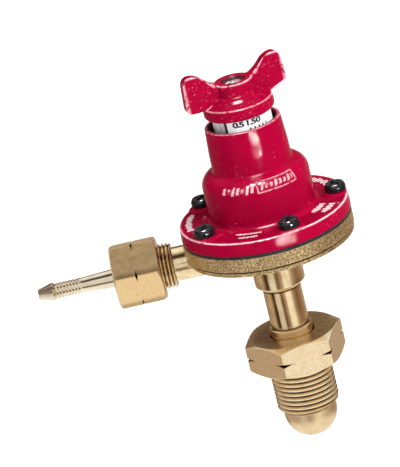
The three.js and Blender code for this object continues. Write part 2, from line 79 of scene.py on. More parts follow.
def arc(centre_r, centre_z, radius, start, end, steps):
    """Evenly spaced (radius, height) points of an arc, with its angles in degrees from the radial."""
    turns = [radians(start + (end - start) * i / steps) for i in range(steps + 1)]
    return [(centre_r + radius * math.cos(t), centre_z + radius * math.sin(t)) for t in turns]


def rounded(outline, closed=True, steps=4):
    """The outline's points, with an arc at each (radius, height, fillet) corner."""
    points = []
    for i, corner in enumerate(outline):
        here = np.array(corner[:2], float)
        at_end = not closed and i in (0, len(outline) - 1)
        if len(corner) == 2 or at_end:
            points.append(here)
            continue
        before = np.array(outline[i - 1][:2]) - here
        after = np.array(outline[(i + 1) % len(outline)][:2]) - here
        before /= np.linalg.norm(before)
        after /= np.linalg.norm(after)
        half = math.acos(np.clip(before @ after, -1, 1)) / 2
        inward = (before + after) / np.linalg.norm(before + after)
        centre = here + inward * corner[2] / math.sin(half)
        first = here + before * corner[2] / math.tan(half) - centre
        last = here + after * corner[2] / math.tan(half) - centre
        sweep = math.pi - 2 * half
        for k in range(steps + 1):
            share = k / steps
            a = math.sin((1 - share) * sweep) / math.sin(sweep)
            b = math.sin(share * sweep) / math.sin(sweep)
            points.append(centre + first * a + last * b)
    return np.array(points)


def dense(points, step, inside, bottom, top):
    """The same closed outline with no run longer than step beyond a radius and between two heights."""
    made = []
    for a, b in zip(points, np.roll(points, -1, axis=0)):
        wanted = min(a[0], b[0]) > inside and min(a[1], b[1]) > bottom and max(a[1], b[1]) < top
        parts = max(1, math.ceil(np.linalg.norm(b - a) / step)) if wanted else 1
        made += [a + (b - a) * k / parts for k in range(parts)]
    return np.array(made)


def smoothstep(low, high, value):
    """0 at low and 1 at high, with an even curve between. low may be the larger."""
    share = np.clip((value - low) / (high - low), 0, 1)
    return share * share * (3 - 2 * share)


# ---- Meshes --------------------------------------------------------------------------------------


def solid(name, points, faces):
    """A Blender object from points in millimetres, with doubled points merged and faces pointing out."""
    mesh = bpy.data.meshes.new(name)
    mesh.from_pydata((np.asarray(points, float) * MM).tolist(), [], faces)
    made = bmesh.new()
    made.from_mesh(mesh)
    bmesh.ops.remove_doubles(made, verts=made.verts, dist=1e-7)
    bmesh.ops.recalc_face_normals(made, faces=made.faces)
    if made.calc_volume(signed=True) < 0:
        bmesh.ops.reverse_faces(made, faces=made.faces)
    made.to_mesh(mesh)
    made.free()
    obj = bpy.data.objects.new(name, mesh)
    bpy.context.scene.collection.objects.link(obj)
    return obj


def skin(name, angles, radii, heights, closed=True):
    """A piece about the Z axis. Row i of radii and heights is its outline at angle i."""
    turns = np.asarray(angles)[:, None]
    grid = np.stack([radii * np.cos(turns), radii * np.sin(turns), heights + 0 * radii], axis=2)
    index = np.arange(grid.shape[0] * grid.shape[1]).reshape(grid.shape[:2])
    beside = np.roll(index, -1, axis=0)
    above, beside_above = np.roll(index, -1, axis=1), np.roll(beside, -1, axis=1)
    quads = np.stack([index, beside, beside_above, above], axis=2)
    if not closed:
        quads = quads[:, :-1]
    return solid(name, grid.reshape(-1, 3), quads.reshape(-1, 4).tolist())


def evenly(count):
    return np.arange(count) * TURN / count


def everywhere(points, count):
    """An outline's radii and heights, the same at each of count angles."""
    return [np.broadcast_to(column, (count, len(points))) for column in np.transpose(points)]


def turned(name, outline, closed=True, count=128, steps=4):
    """A turned piece. An open outline starts and ends on the axis."""
    return skin(name, evenly(count), *everywhere(rounded(outline, closed, steps), count), closed)


def flat_ring(name, node, inner, fillet, count=128):
    """A ring from an inner radius out to its node's edge, as tall as the node."""
    low, high = span(node)
    corners = ((inner, low.z), (high.x, low.z), (high.x, high.z), (inner, high.z))
    return turned(name, [(*corner, fillet) for corner in corners], count=count)


def rod(radius, bottom, top, count=64):
    return turned("rod", [(0, bottom), (radius, bottom), (radius, top), (0, top)], False, count)


def block(width, depth, height, centre, turn=0.0):
    """A cutting block about a centre, turned by degrees about Z."""
    corners = [(x, y, z) for x in (-0.5, 0.5) for y in (-0.5, 0.5) for z in (-0.5, 0.5)]
    points = np.array(corners) * (width, depth, height)
    faces = [(0, 1, 3, 2), (4, 6, 7, 5), (0, 4, 5, 1), (2, 3, 7, 6), (0, 2, 6, 4), (1, 5, 7, 3)]
    made = solid("block", points, faces)
    made.data.transform(Matrix.Translation(Vector(centre) * MM) @ Matrix.Rotation(radians(turn), 4, "Z"))
    return made


def prism(name, outline, thickness):
    """An (x, z) outline given a thickness along Y."""
    count = len(outline)
    points = [(x, y, z) for y in (-thickness / 2, thickness / 2) for x, z in outline]
    sides = [(i, (i + 1) % count, count + (i + 1) % count, count + i) for i in range(count)]
    return solid(name, points, [list(range(count)), list(range(count, 2 * count))] + sides)


def bake(obj):
    """Turns the object's modifiers into its mesh."""
    graph = bpy.context.evaluated_depsgraph_get()
    made = bpy.data.meshes.new_from_object(obj.evaluated_get(graph), depsgraph=graph)
    obj.modifiers.clear()
    obj.data = made
    return obj


def combine(obj, tools, operation):
    for tool in tools:
        modifier = obj.modifiers.new("combine", "BOOLEAN")
        modifier.solver = "MANIFOLD"
        modifier.operation = operation
        modifier.object = tool
        bake(obj)
        bpy.data.objects.remove(tool)
    return obj


def joined(obj, *tools):
    return combine(obj, tools, "UNION")


def cut(obj, *tools):
    return combine(obj, tools, "DIFFERENCE")


def cast(obj, voxel, passes):
    """Softens every edge and corner the way a casting's are."""
    remesh = obj.modifiers.new("skin", "REMESH")
    remesh.mode = "VOXEL"
    remesh.voxel_size = voxel * MM
    soften = obj.modifiers.new("soften", "SMOOTH")
    soften.factor = 0.5
    soften.iterations = passes
    return bake(obj)


def bevelled(obj, width, sharper_than):
    """Breaks the edges sharper than so many degrees."""
    bevel = obj.modifiers.new("bevel", "BEVEL")
    bevel.width = width * MM
    bevel.segments = 2
    bevel.limit_method = "ANGLE"
    bevel.angle_limit = radians(sharper_than)
    return bake(obj)


def place(obj, matrix):
    obj.data.transform(matrix)
    return obj


def along_outlet(obj):
    """Lays a piece built up the Z axis onto the outlet's axis, pointing along -X."""
    lay = Matrix(((0, 0, -1, 0), (0, 1, 0, 0), (1, 0, 0, OUTLET_HEIGHT * MM), (0, 0, 0, 1)))
    return place(obj, lay)


def from_corner(angle):
    """The same angle measured from the nearest of six corners."""
    return (angle + TURN / 12) % (TURN / 6) - TURN / 12


def marked(obj, layer_name, share):
    """Stores a 0 to 1 value at each point, which share works out from rows of (x, y, z) in millimetres."""
    points = np.array([v.co for v in obj.data.vertices]) / MM
    amount = np.clip(share(points), 0, 1)
    layer = obj.data.attributes.new(layer_name, "FLOAT", "POINT")
    layer.data.foreach_set("value", amount.astype(np.float32))
    return obj


def polar(points, axis=2):
    """Angles, radii and heights about Z, or with axis 0 about the outlet and out along it."""
    if axis == 0:
        points = np.stack([points[:, 2] - OUTLET_HEIGHT, points[:, 1], -points[:, 0]], axis=1)
    return np.arctan2(points[:, 1], points[:, 0]), np.hypot(points[:, 0], points[:, 1]), points[:, 2]


def present(obj, body, slot, look, *nodes, crease=32):
    """Finishes a piece: its shading, its material, the body it rides on and the nodes it stands for."""
    obj.data.shade_smooth()
    obj.data.set_sharp_from_angle(angle=radians(crease))
    weigh = obj.modifiers.new("even_shading", "WEIGHTED_NORMAL")
    weigh.keep_sharp = True
    obj.data.materials.clear()
    obj.data.materials.append(look)
    if body:
        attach(obj, body)
    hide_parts(*nodes)
    return obj


# ---- Materials -----------------------------------------------------------------------------------

CRIMSON = (0.275, 0.0006, 0.0235)
BRASS = (0.90, 0.70, 0.42)
# The brown of painted shade in grooves, corners and thread roots.
SHADE_BROWN = (0.10, 0.035, 0.010)


class Nodes:
    """A node tree and short ways to build it. An input is another node's output, a number or a colour."""

    blur = 0.1

    def __init__(self, tree):
        self.tree = tree

    def add(self, kind, **settings):
        node = self.tree.nodes.new(kind)
        for key, value in settings.items():
            setattr(node, key, value)
        return node

    def feed(self, socket, value):
        """Links another node's output to a socket, or sets the value there."""
        if isinstance(value, bpy.types.NodeSocket):
            self.tree.links.new(value, socket)
        elif socket.type == "RGBA":
            socket.default_value = (*value, 1)
        else:
            socket.default_value = value

    def made(self, kind, inputs, output=0, **settings):
        """Adds a node, feeds its inputs and returns one of its outputs."""
        node = self.add(kind, **settings)
        for socket, value in inputs.items():
            self.feed(node.inputs[socket], value)
        return node.outputs[output]

    def between(self, value, low, high, start=0.0, end=1.0):
        """Maps low..high to start..end, and holds the ends beyond."""
        inputs = {"Value": value, "From Min": low, "From Max": high, "To Min": start, "To Max": end}
        return self.made("ShaderNodeMapRange", inputs, "Result")

    def mixed(self, share, first, second):
        """The first colour where share is 0, and the second where it is 1."""
        inputs = {"Factor": share, "A": first, "B": second}
        return self.made("ShaderNodeMix", inputs, "Result", data_type="RGBA")

    def colours(self, value, low, high, first, second):
        """Mixes two colours as value runs from low to high."""
        return self.mixed(self.between(value, low, high), first, second)

    def combined(self, operation, first, second):
        return self.made("ShaderNodeMath", {0: first, 1: second}, operation=operation)

    def times(self, first, second):
        return self.combined("MULTIPLY", first, second)

    def toward(self, place, axis):
        """How far a place lies along an axis."""
        return self.made("ShaderNodeVectorMath", {0: place, 1: axis}, "Value", operation="DOT_PRODUCT")


class Look(Nodes):
    """A node material around one Principled shader. Its textures read the object's own metres."""

    def __init__(self, name, colour, roughness, metallic=0.0):
        self.material = bpy.data.materials.new(name)
        self.material.use_nodes = True
        super().__init__(self.material.node_tree)
        self.shader = self.tree.nodes["Principled BSDF"]
        self.place = self.add("ShaderNodeTexCoord").outputs["Object"]
        self.bumps = None
        self.set("Base Color", colour)
        self.set("Roughness", roughness)
        self.set("Metallic", metallic)

    def set(self, socket, value):
        self.feed(self.shader.inputs[socket], value)

    def cells(self, size, stretch=(1, 1, 1)):
        """Places counted in features about size millimetres across, drawn out along the stretched axes."""
        scale = [1 / (size * MM * s) for s in stretch]
        return self.made("ShaderNodeMapping", {"Vector": self.place, "Scale": scale}, "Vector")

    def noise(self, size, detail=3.0, stretch=(1, 1, 1), sharpness=0.5):
        inputs = {"Vector": self.cells(size, stretch), "Scale": 1.0, "Detail": detail, "Roughness": sharpness}
        return self.made("ShaderNodeTexNoise", inputs, "Fac")

    def specks(self, size, reach):
        """1 at scattered points and 0 beyond reach, as a share of the cell size."""
        away = self.made("ShaderNodeTexVoronoi", {"Vector": self.cells(size), "Scale": 1.0}, "Distance")
        return self.between(away, reach, reach * 0.3)

    def within(self, radius):
        """1 nearer the Z axis than radius and 0 beyond."""
        inputs = {0: self.place, 1: (1, 1, 0)}
        flat = self.made("ShaderNodeVectorMath", inputs, "Vector", operation="MULTIPLY")
        away = self.made("ShaderNodeVectorMath", {0: flat}, "Value", operation="LENGTH")
        return self.between(away, (radius + self.blur) * MM, (radius - self.blur) * MM)

    def above(self, height):
        """1 higher than a height and 0 below."""
        upward = self.toward(self.place, (0, 0, 1))
        return self.between(upward, (height - self.blur) * MM, (height + self.blur) * MM)

    def stored(self, layer_name):
        """The value that marked() stored in the mesh."""
        return self.add("ShaderNodeAttribute", attribute_name=layer_name).outputs["Fac"]

    def with_painted_shade(self, under):
        """Darkens a colour to brown where the mesh marks painted shade."""
        return self.mixed(self.stored("painted_shade"), under, SHADE_BROWN)

    def colour(self, output):
        self.set("Base Color", output)

    def roughness(self, value, low, high, start, end):
        self.set("Roughness", self.between(value, low, high, start, end))

    def relief(self, value, depth):
        """Adds surface relief of so many millimetres."""
        inputs = {"Strength": 1.0, "Distance": depth * MM, "Height": value}
        if self.bumps:
            inputs["Normal"] = self.bumps
        self.bumps = self.made("ShaderNodeBump", inputs, "Normal")
        self.set("Normal", self.bumps)


def toned(colour, share):
    """A colour made darker or paler."""
    return [min(1, share * c) for c in colour]


def red_paint(name, shade_radius, glinting):
    """Glossy crimson paint over a casting, with pale specks painted as glints and pale painted highlights
    where the mesh marks them. Within the given radius of the axis, in its bore, it is near black: painted
    shade.
    """
    look = Look(name, CRIMSON, 0.12)
    base = look.colours(look.noise(9), 0.3, 0.7, toned(CRIMSON, 0.85), CRIMSON)
    # Pale specks painted as glints off the paint.
    glint_flecks = look.between(look.noise(0.9, 4, sharpness=0.7), 0.6, 0.66)
    glints = look.times(glint_flecks, look.between(look.noise(7), 0.62 - glinting, 0.7 - glinting))
    base = look.mixed(glints, base, (0.55, 0.06, 0.11))
    # Painted highlights: pale pink where the mesh marks them, broken up by noise.
    painted_highlight = look.stored("painted_highlight")
    patchy = look.times(painted_highlight, look.between(look.noise(1.4, 4), 0.36, 0.5))
    highlit = look.combined("MAXIMUM", patchy, look.between(painted_highlight, 0.8, 0.95))
    base = look.mixed(highlit, base, (0.85, 0.46, 0.52))
    # Painted shade: near black within the given radius of the axis, in the bore.
    look.colour(look.mixed(look.within(shade_radius), base, (0.02, 0.006, 0.008)))
    look.roughness(look.noise(5), 0.3, 0.7, 0.08, 0.15)
    look.set("Specular IOR Level", 0.03)
    look.relief(look.noise(3.2, 2), 0.1)
    look.relief(look.noise(0.9, 2), 0.03)
    return look.material


def body_brass(rim_radius, rim_width):
    """Smooth brass from the lathe, but sawn and grainy on the disc's rim, from rim_radius outwards."""
    look = Look("body_brass", BRASS, 0.3, 1.0)
    ring = look.combined("SUBTRACT", look.within(rim_radius + rim_width), look.within(rim_radius))
    sawn = look.times(ring, look.above(OUTLET_HEIGHT))
    grain = look.noise(0.5, 4, sharpness=0.7)
    rough = look.colours(grain, 0.4, 0.6, (0.27, 0.13, 0.035), (0.97, 0.78, 0.44))
    stain = look.colours(look.noise(4, 4), 0.35, 0.7, (0.74, 0.56, 0.31), (1.0, 0.84, 0.54))
    # Darker brown where the mesh marks painted shade.
    look.colour(look.with_painted_shade(look.mixed(sawn, stain, rough)))
    look.roughness(sawn, 0, 1, 0.13, 0.4)
    look.relief(look.times(grain, look.between(sawn, 0, 1, 0.04, 1)), 0.09)
    look.relief(look.noise(3, 2), 0.03)
    return look.material


def turned_brass(name, axis, colour=(0.92, 0.72, 0.43)):
    """Brass from the lathe, with fine tool lines round the axis of turning."""
    look = Look(name, colour, 0.2, 1.0)
    around = [30, 30, 30]
    around[axis] = 1
    stain = look.noise(4, 4)
    tone = look.colours(stain, 0.35, 0.7, toned(colour, 0.84), toned(colour, 1.06))
    # Darker brown where the mesh marks painted shade.
    look.colour(look.with_painted_shade(tone))
    satin = look.between(look.stored("satin"), 0, 1, 0, 0.24)
    finish = look.combined("ADD", look.between(stain, 0.3, 0.7, 0.09, 0.17), satin)
    look.set("Roughness", finish)
    look.relief(look.noise(0.22, 2, stretch=around), 0.006)
    look.relief(look.noise(1.5, 3), 0.007)
    return look.material


def nut_brass(name, axis, roughness, darker, paler):
    """Hexagon bar stock: drawn faces with soft streaks along the bar and small dings."""
    look = Look(name, BRASS, 0.35, 1.0)
    along = [1, 1, 1]
    along[axis] = 14
    grain = look.noise(0.7, 4, sharpness=0.65)
    tone = look.colours(grain, 0.3, 0.7, darker, paler)
    # Cream where the mesh marks painted highlights.
    tone = look.mixed(look.stored("painted_highlight"), tone, (1.0, 0.88, 0.66))
    dings = look.times(look.specks(4.5, 0.07), look.between(look.noise(6), 0.52, 0.56))
    # Darker brown where the mesh marks painted shade.
    look.colour(look.with_painted_shade(look.mixed(dings, tone, (0.20, 0.09, 0.03))))
    look.roughness(look.noise(2, 3), 0.3, 0.7, roughness, roughness + 0.1)
    look.relief(look.noise(0.5, 3, stretch=along), 0.006)
    look.relief(grain, 0.008)
    return look.material


def black_steel():
    """Blacked steel, paler where the mesh marks a painted reflection."""
    look = Look("black_steel", (0.012, 0.012, 0.015), 0.32, 0.4)
    tone = look.colours(look.noise(0.8), 0.35, 0.65, (0.003, 0.003, 0.004), (0.016, 0.016, 0.020))
    # Painted reflection: paler where the mesh marks it.
    look.colour(look.mixed(look.stored("painted_highlight"), tone, (0.035, 0.037, 0.047)))
    look.roughness(look.noise(0.6), 0.3, 0.7, 0.14, 0.24)
    look.set("Specular IOR Level", 0.3)
    look.relief(look.noise(0.5, 3), 0.012)
    return look.material


def grey_metal(name, tone, roughness, metallic=1.0):
    """Plated or cast grey metal, cloudy and lightly grained."""
    grey = (tone,) * 3
    look = Look(name, grey, roughness, metallic)
    cloud = look.noise(1.6, 4)
    look.colour(look.colours(cloud, 0.3, 0.7, toned(grey, 0.75), toned(grey, 1.15)))
    look.roughness(cloud, 0.3, 0.7, roughness * 0.8, roughness * 1.25)
    look.relief(look.noise(0.3, 3), 0.008)
    return look.material


def mottled(name, roughness, patches, darker, paler, grain, depth):
    """A dull material in two shades, with patches and grain of so many millimetres."""
    look = Look(name, paler, roughness)
    look.colour(look.colours(look.noise(patches), 0.3, 0.7, darker, paler))
    look.relief(look.noise(grain), depth)
    return look


def black_rubber():
    look = mottled("black_rubber", 0.75, 0.9, (0.008, 0.008, 0.009), (0.035, 0.034, 0.033), 0.25, 0.03)
    look.set("Specular IOR Level", 0.15)
    return look.material


def label_film():
    """White printed film, a little soiled."""
    look = Look("label_film", (0.86, 0.86, 0.87), 0.4)
    look.colour(look.colours(look.noise(3, 4), 0.3, 0.75, (0.92, 0.92, 0.93), (0.74, 0.73, 0.76)))
    look.relief(look.noise(4, 2), 0.05)
    return look.material


def ink(name, colour):
    """Printed ink with a slightly uneven lay."""
    return mottled(name, 0.5, 0.4, toned(colour, 0.75), colour, 0.2, 0.005).material


def fibre():
    """Red-brown pressed fibre."""
    return mottled("fibre", 0.85, 0.3, (0.07, 0.025, 0.015), (0.2, 0.075, 0.04), 0.2, 0.03).material


def sintered_bronze():
    """Bronze grains fused together, with open pores."""
    look = Look("sintered_bronze", (0.5, 0.3, 0.13), 0.55, 0.9)
    grains = look.specks(0.45, 0.6)
    look.colour(look.colours(grains, 0.1, 0.8, (0.12, 0.06, 0.02), (0.62, 0.40, 0.19)))
    look.relief(grains, 0.12)
    return look.material


# ---- Threads and hexagons ------------------------------------------------------------------------


class Thread:
    """A left-hand pipe thread: its crest radius, pitch and depth, as the standard gives them."""

    def __init__(self, crest, pitch, depth):
        self.crest, self.pitch, self.depth = crest, pitch, depth
        self.root = crest - depth

    def radius(self, angles, heights, start, end):
        """The helical surface's radius between start and end, where the ridge runs out."""
        phase = heights / self.pitch + angles / TURN
        ridge = 1 - np.abs(2 * (phase - np.floor(phase)) - 1)
        ridge = 0.3 * ridge + 0.7 * smoothstep(0.1, 0.8, ridge)
        fade = smoothstep(start, start + self.pitch, heights)
        fade = fade * smoothstep(end, end - self.pitch * 0.6, heights)
        return self.root + self.depth * ridge * fade


G58 = Thread(11.456, 1.814, 1.162)
G38 = Thread(8.331, 1.337, 0.856)


class Hexagon:
    """A hexagon with softened corners, chamfered ends and a V groove that only nicks the corners."""

    fillet = 0.5
    groove_slope = 0.42
    chamfer = math.tan(radians(28))
    rim_inset = 0.25

    def __init__(self, across_flats, corner_at, bottom, top, nick):
        self.face = across_flats / 2
        self.corner_at = radians(corner_at)
        self.bottom, self.top = bottom, top
        self.middle = (bottom + top) / 2
        self.nick = nick
        self.fillet_centre = (self.face - self.fillet) / math.cos(radians(30))
        reach = self.fillet_centre + self.fillet * math.cos(radians(30))
        self.fillet_half = math.atan2(self.fillet * math.sin(radians(30)), reach)

    def angles(self):
        """Angles that crowd round the six corners and cross the flats in wider steps."""
        near = np.linspace(-self.fillet_half, self.fillet_half, 9)
        flat = np.linspace(self.fillet_half, TURN / 6 - self.fillet_half, 30)[1:-1]
        sector = np.concatenate([near, flat])
        return self.corner_at + np.concatenate([sector + i * TURN / 6 for i in range(6)])

    def radius(self, angles):
        off = np.abs(from_corner(angles - self.corner_at))
        flat = self.face / np.cos(radians(30) - off)
        inside = np.maximum(self.fillet**2 - (self.fillet_centre * np.sin(off)) ** 2, 0)
        corner = self.fillet_centre * np.cos(off) + np.sqrt(inside)
        return np.where(off < self.fillet_half, corner, flat)

    def fall(self, radius):
        """How far the chamfer has fallen from the end face at a radius."""
        return (radius - self.face + self.rim_inset) * self.chamfer

    def groove_shade(self, angles, radii, heights):
        """Painted shade in the V groove."""
        beside = smoothstep(0.1, 0.5, self.radius(angles) - radii)
        return beside * (np.abs(heights - self.middle) < self.nick * self.groove_slope)

    def edge_highlight(self, angles, radii, heights):
        """A painted highlight: the bright line where each chamfer meets the flats."""
        radius = self.radius(angles)
        fall = self.fall(radius)
        away = np.minimum(np.abs(heights - self.bottom - fall), np.abs(heights - self.top + fall))
        return smoothstep(0.2, 0.06, away) * (radii > radius - 0.3)

    def side(self, angles):
        """Radii and heights up the hexagon, from the flat bottom's rim to the flat top's rim."""
        radius = self.radius(angles)
        rim = np.full_like(radius, self.face - self.rim_inset)
        low = self.bottom + self.fall(radius)
        high = self.top - self.fall(radius)
        deepest = radius.max() - self.nick
        reach = np.maximum((radius - deepest) * self.groove_slope, 0.12)
        below, above = self.middle - reach, self.middle + reach
        steps = [(rim, np.full_like(radius, self.bottom)), (radius - 0.05, low - 0.03)]
        steps += [(radius, low + share * (below - low)) for share in (0.02, 0.05, 0.2, 0.5, 0.8, 1)]
        for share in (0.8, 0.6, 0.4, 0.2, 0, -0.2, -0.4, -0.6, -0.8):
            groove = deepest + abs(share) * reach / self.groove_slope
            steps.append((np.minimum(radius, groove), self.middle - share * reach))
        steps += [(radius, above + share * (high - above)) for share in (0, 0.2, 0.5, 0.8, 0.95, 0.98)]
        steps += [(radius - 0.05, high + 0.03), (rim, np.full_like(radius, self.top))]
        return [np.stack(column, axis=1) for column in zip(*steps)]


def chained(*runs):
    """Runs of (radii, heights) rows, put end to end."""
    return [np.concatenate(columns, axis=1) for columns in zip(*runs)]


def fixed(outline, steps=3):
    """An outline that is the same at every angle, for nut()."""
    points = rounded(outline, False, steps)
    return lambda angles: everywhere(points, len(angles))


def nut(name, hexagon, below, above):
    """A hexagon between two outlines: below runs from the bore's top down and out to the hexagon."""
    angles = hexagon.angles()
    return skin(name, angles, *chained(below(angles), hexagon.side(angles), above(angles)))


# ---- Inlet ---------------------------------------------------------------------------------------


def inlet_stem(look):
    high = span("inlet_stem")[1]
    filter_high = span("inlet_filter")[1]
    pocket, pocket_end = filter_high.x + 0.1, filter_high.z + 0.4
    nose_radius = high.x
    nose_flat = 4.0
    nose_centre = math.sqrt(nose_radius**2 - nose_flat**2)
    flat_edge = -math.degrees(math.acos(nose_flat / nose_radius))
    seal_bottom = span("stem_seal")[0].z - 0.05
    spigot, stem, shoulder, bore = 5.8, 7.0, 7.75, 2.4
    shoulder_top = 43.2
    nose_top = 11.0
    outline = [(pocket + 0.3, 0), *arc(0, nose_centre, nose_radius, flat_edge, 0, 28)]
    outline += [
        (nose_radius, nose_top, 0.5),
        (shoulder + 0.3, nose_top, 0.2),
        (shoulder + 0.3, nose_top + 0.3, 0.1),
        (shoulder, nose_top + 0.6, 0.1),
        (shoulder, shoulder_top, 0.35),
        (stem + 0.25, shoulder_top + 0.15, 0.1),
        (stem, shoulder_top + 0.6, 0.2),
        (stem, shoulder_top + 1.1),
        (stem, seal_bottom - 0.6),
        (stem, seal_bottom, 0.15),
        (spigot, seal_bottom, 0.1),
        (spigot, high.z, 0.3),
        (bore, high.z, 0.2),
        (bore, pocket_end, 0.1),
        (pocket, pocket_end, 0.1),
        (pocket, 0.3),
    ]
    obj = turned("inlet_stem_turned", outline, count=160)
    # Painted shade at the shoulder's inner corner and where the stem meets the seal.
    shade_lines = ((stem + 0.1, shoulder_top + 0.5), (stem, seal_bottom))

    def shade_at(points):
        radii, heights = polar(points)[1:]
        return sum(smoothstep(0.5, 0.2, np.hypot(radii - r, heights - z)) for r, z in shade_lines)

    marked(obj, "painted_shade", shade_at)
    marked(obj, "satin", lambda points: smoothstep(nose_top + 0.1, nose_top - 0.4, points[:, 2]))
    return present(obj, "regulator", "turned_brass", look, "inlet_stem")


def inlet_filter(look):
    high = span("inlet_filter")[1]
    end = 0.05
    outline = [(0, end), (high.x, end, 0.25), (high.x, high.z, 0.25), (0, high.z)]
    obj = turned("inlet_filter_sintered", outline, False, 64)
    return present(obj, "regulator", "sintered_bronze", look, "inlet_filter")


def stem_seal(look):
    low, high = span("stem_seal")
    inner, edge = 6, high.x
    obj = turned("stem_seal_fibre", [
        (inner, low.z),
        (edge - 0.1, low.z, 0.08),
        (edge, high.z - 0.1, 0.08),
        (edge - 0.2, high.z),
        (inner, high.z),
    ])
    return present(obj, "regulator", "fibre_seal", look, "stem_seal")


def thrust_washer(look):
    obj = flat_ring("thrust_washer_plated", "thrust_washer", 8.0, 0.15)
    return present(obj, "nut_washer", "plated_steel", look, "thrust_washer")


def inlet_nut(look):
    low, high = span("inlet_nut")
    washer = span("thrust_washer")[1]
    hex_bottom, relief = 28.65, 0.9
    bore, counterbore = 8.1, washer.x + 0.1
    ledge = washer.z + 0.1
    hexagon = Hexagon(31.75, 12.2, hex_bottom, high.z, 1.7)
    mouth = low.z + 0.2
    inside = fixed([(bore, ledge), (counterbore, ledge), (counterbore, mouth), (counterbore + 0.2, low.z)])
    root = G58.root
    collar = fixed([(root, hex_bottom - 0.5), (root + 0.2, hex_bottom - 0.1), (root + 0.6, hex_bottom)])
    above = fixed([(14, high.z), (11, high.z), (bore + 0.4, high.z), (bore, high.z - 0.4)])

    def threaded(angles):
        """The thread's rows, cut back by the lead-in at its lower end."""
        heights = np.linspace(low.z + 0.05, hex_bottom - relief, 170)
        heights = np.broadcast_to(heights, (len(angles), len(heights)))
        lead_in = np.minimum(G58.crest, G58.root - 0.3 + 1.2 * (heights - low.z))
        ridges = G58.radius(angles[:, None], heights, low.z - 0.6, hex_bottom - relief)
        return np.minimum(ridges, lead_in), heights

    def below(angles):
        return chained(inside(angles), threaded(angles), collar(angles))

    obj = nut("inlet_nut_hex", hexagon, below, above)

    # Painted shade in the thread roots, the V groove and on the top face, darkest towards -X.
    def shade_at(angles, radii, heights):
        in_thread = (radii > G58.root - 0.4) * (heights < hex_bottom)
        roots = smoothstep(G58.crest - 0.7, G58.root + 0.1, radii) * in_thread
        shaded_top = smoothstep(high.z - 0.05, high.z, heights) * smoothstep(hexagon.face + 1, 12, radii)
        shaded_top = shaded_top * (0.8 - 0.4 * np.cos(angles))
        return 0.9 * roots + hexagon.groove_shade(angles, radii, heights) + 0.5 * shaded_top

    # Painted highlights on the chamfer edges and the thread crests.
    def painted_highlight(angles, radii, heights):
        in_thread = (heights < hex_bottom) * (heights > low.z + 0.5)
        crests = smoothstep(G58.crest - 0.3, G58.crest - 0.05, radii) * in_thread
        return hexagon.edge_highlight(angles, radii, heights) + crests

    marked(obj, "painted_shade", lambda points: shade_at(*polar(points)))
    marked(obj, "painted_highlight", lambda points: painted_highlight(*polar(points)))
    return present(obj, "inlet_nut_body", "nut_brass", look, "inlet_nut", crease=24)


# ---- Body ----------------------------------------------------------------------------------------

OUTLET_HEIGHT = 75.3
OUTLET_END = -span("body")[0].x
SCREW_CIRCLE = 26.5
SCREW_ANGLES = [72 * i for i in range(5)]
SCREW_HOLE = 2.15


def on_screw_circle(obj, angle):
    """Moves a piece built on the Z axis to its screw's place."""
    step = Matrix.Translation((SCREW_CIRCLE * MM, 0, 0))
    return place(obj, Matrix.Rotation(radians(angle), 4, "Z") @ step)


def screw_holes(bottom, top):
    """Tools that drill the five screw holes."""
    return [on_screw_circle(rod(SCREW_HOLE, bottom, top, 32), angle) for angle in SCREW_ANGLES]


def outlet_stub(thread_start):
    """The outlet's plain stub and its left-hand thread, as one turned piece."""
    stub, count = 6.25, 120
    angles = evenly(count)
    heights = np.linspace(thread_start, OUTLET_END, 140)
    lead_in = np.minimum(G38.crest, G38.root - 0.2 + (OUTLET_END - heights))
    grid = np.broadcast_to(heights, (count, len(heights)))
    ridges = G38.radius(angles[:, None], grid, thread_start - 0.5, OUTLET_END + 0.8)
    plain = [(0, 6), (stub, 6), (stub, thread_start - 0.05, 0.2), (G38.root, thread_start, 0.1)]
    start = everywhere(rounded(plain, False), count)
    end = everywhere([(0, OUTLET_END)], count)
    rows = chained(start, (np.minimum(ridges, lead_in), grid), end)
    return along_outlet(skin("stub", angles, *rows, closed=False))


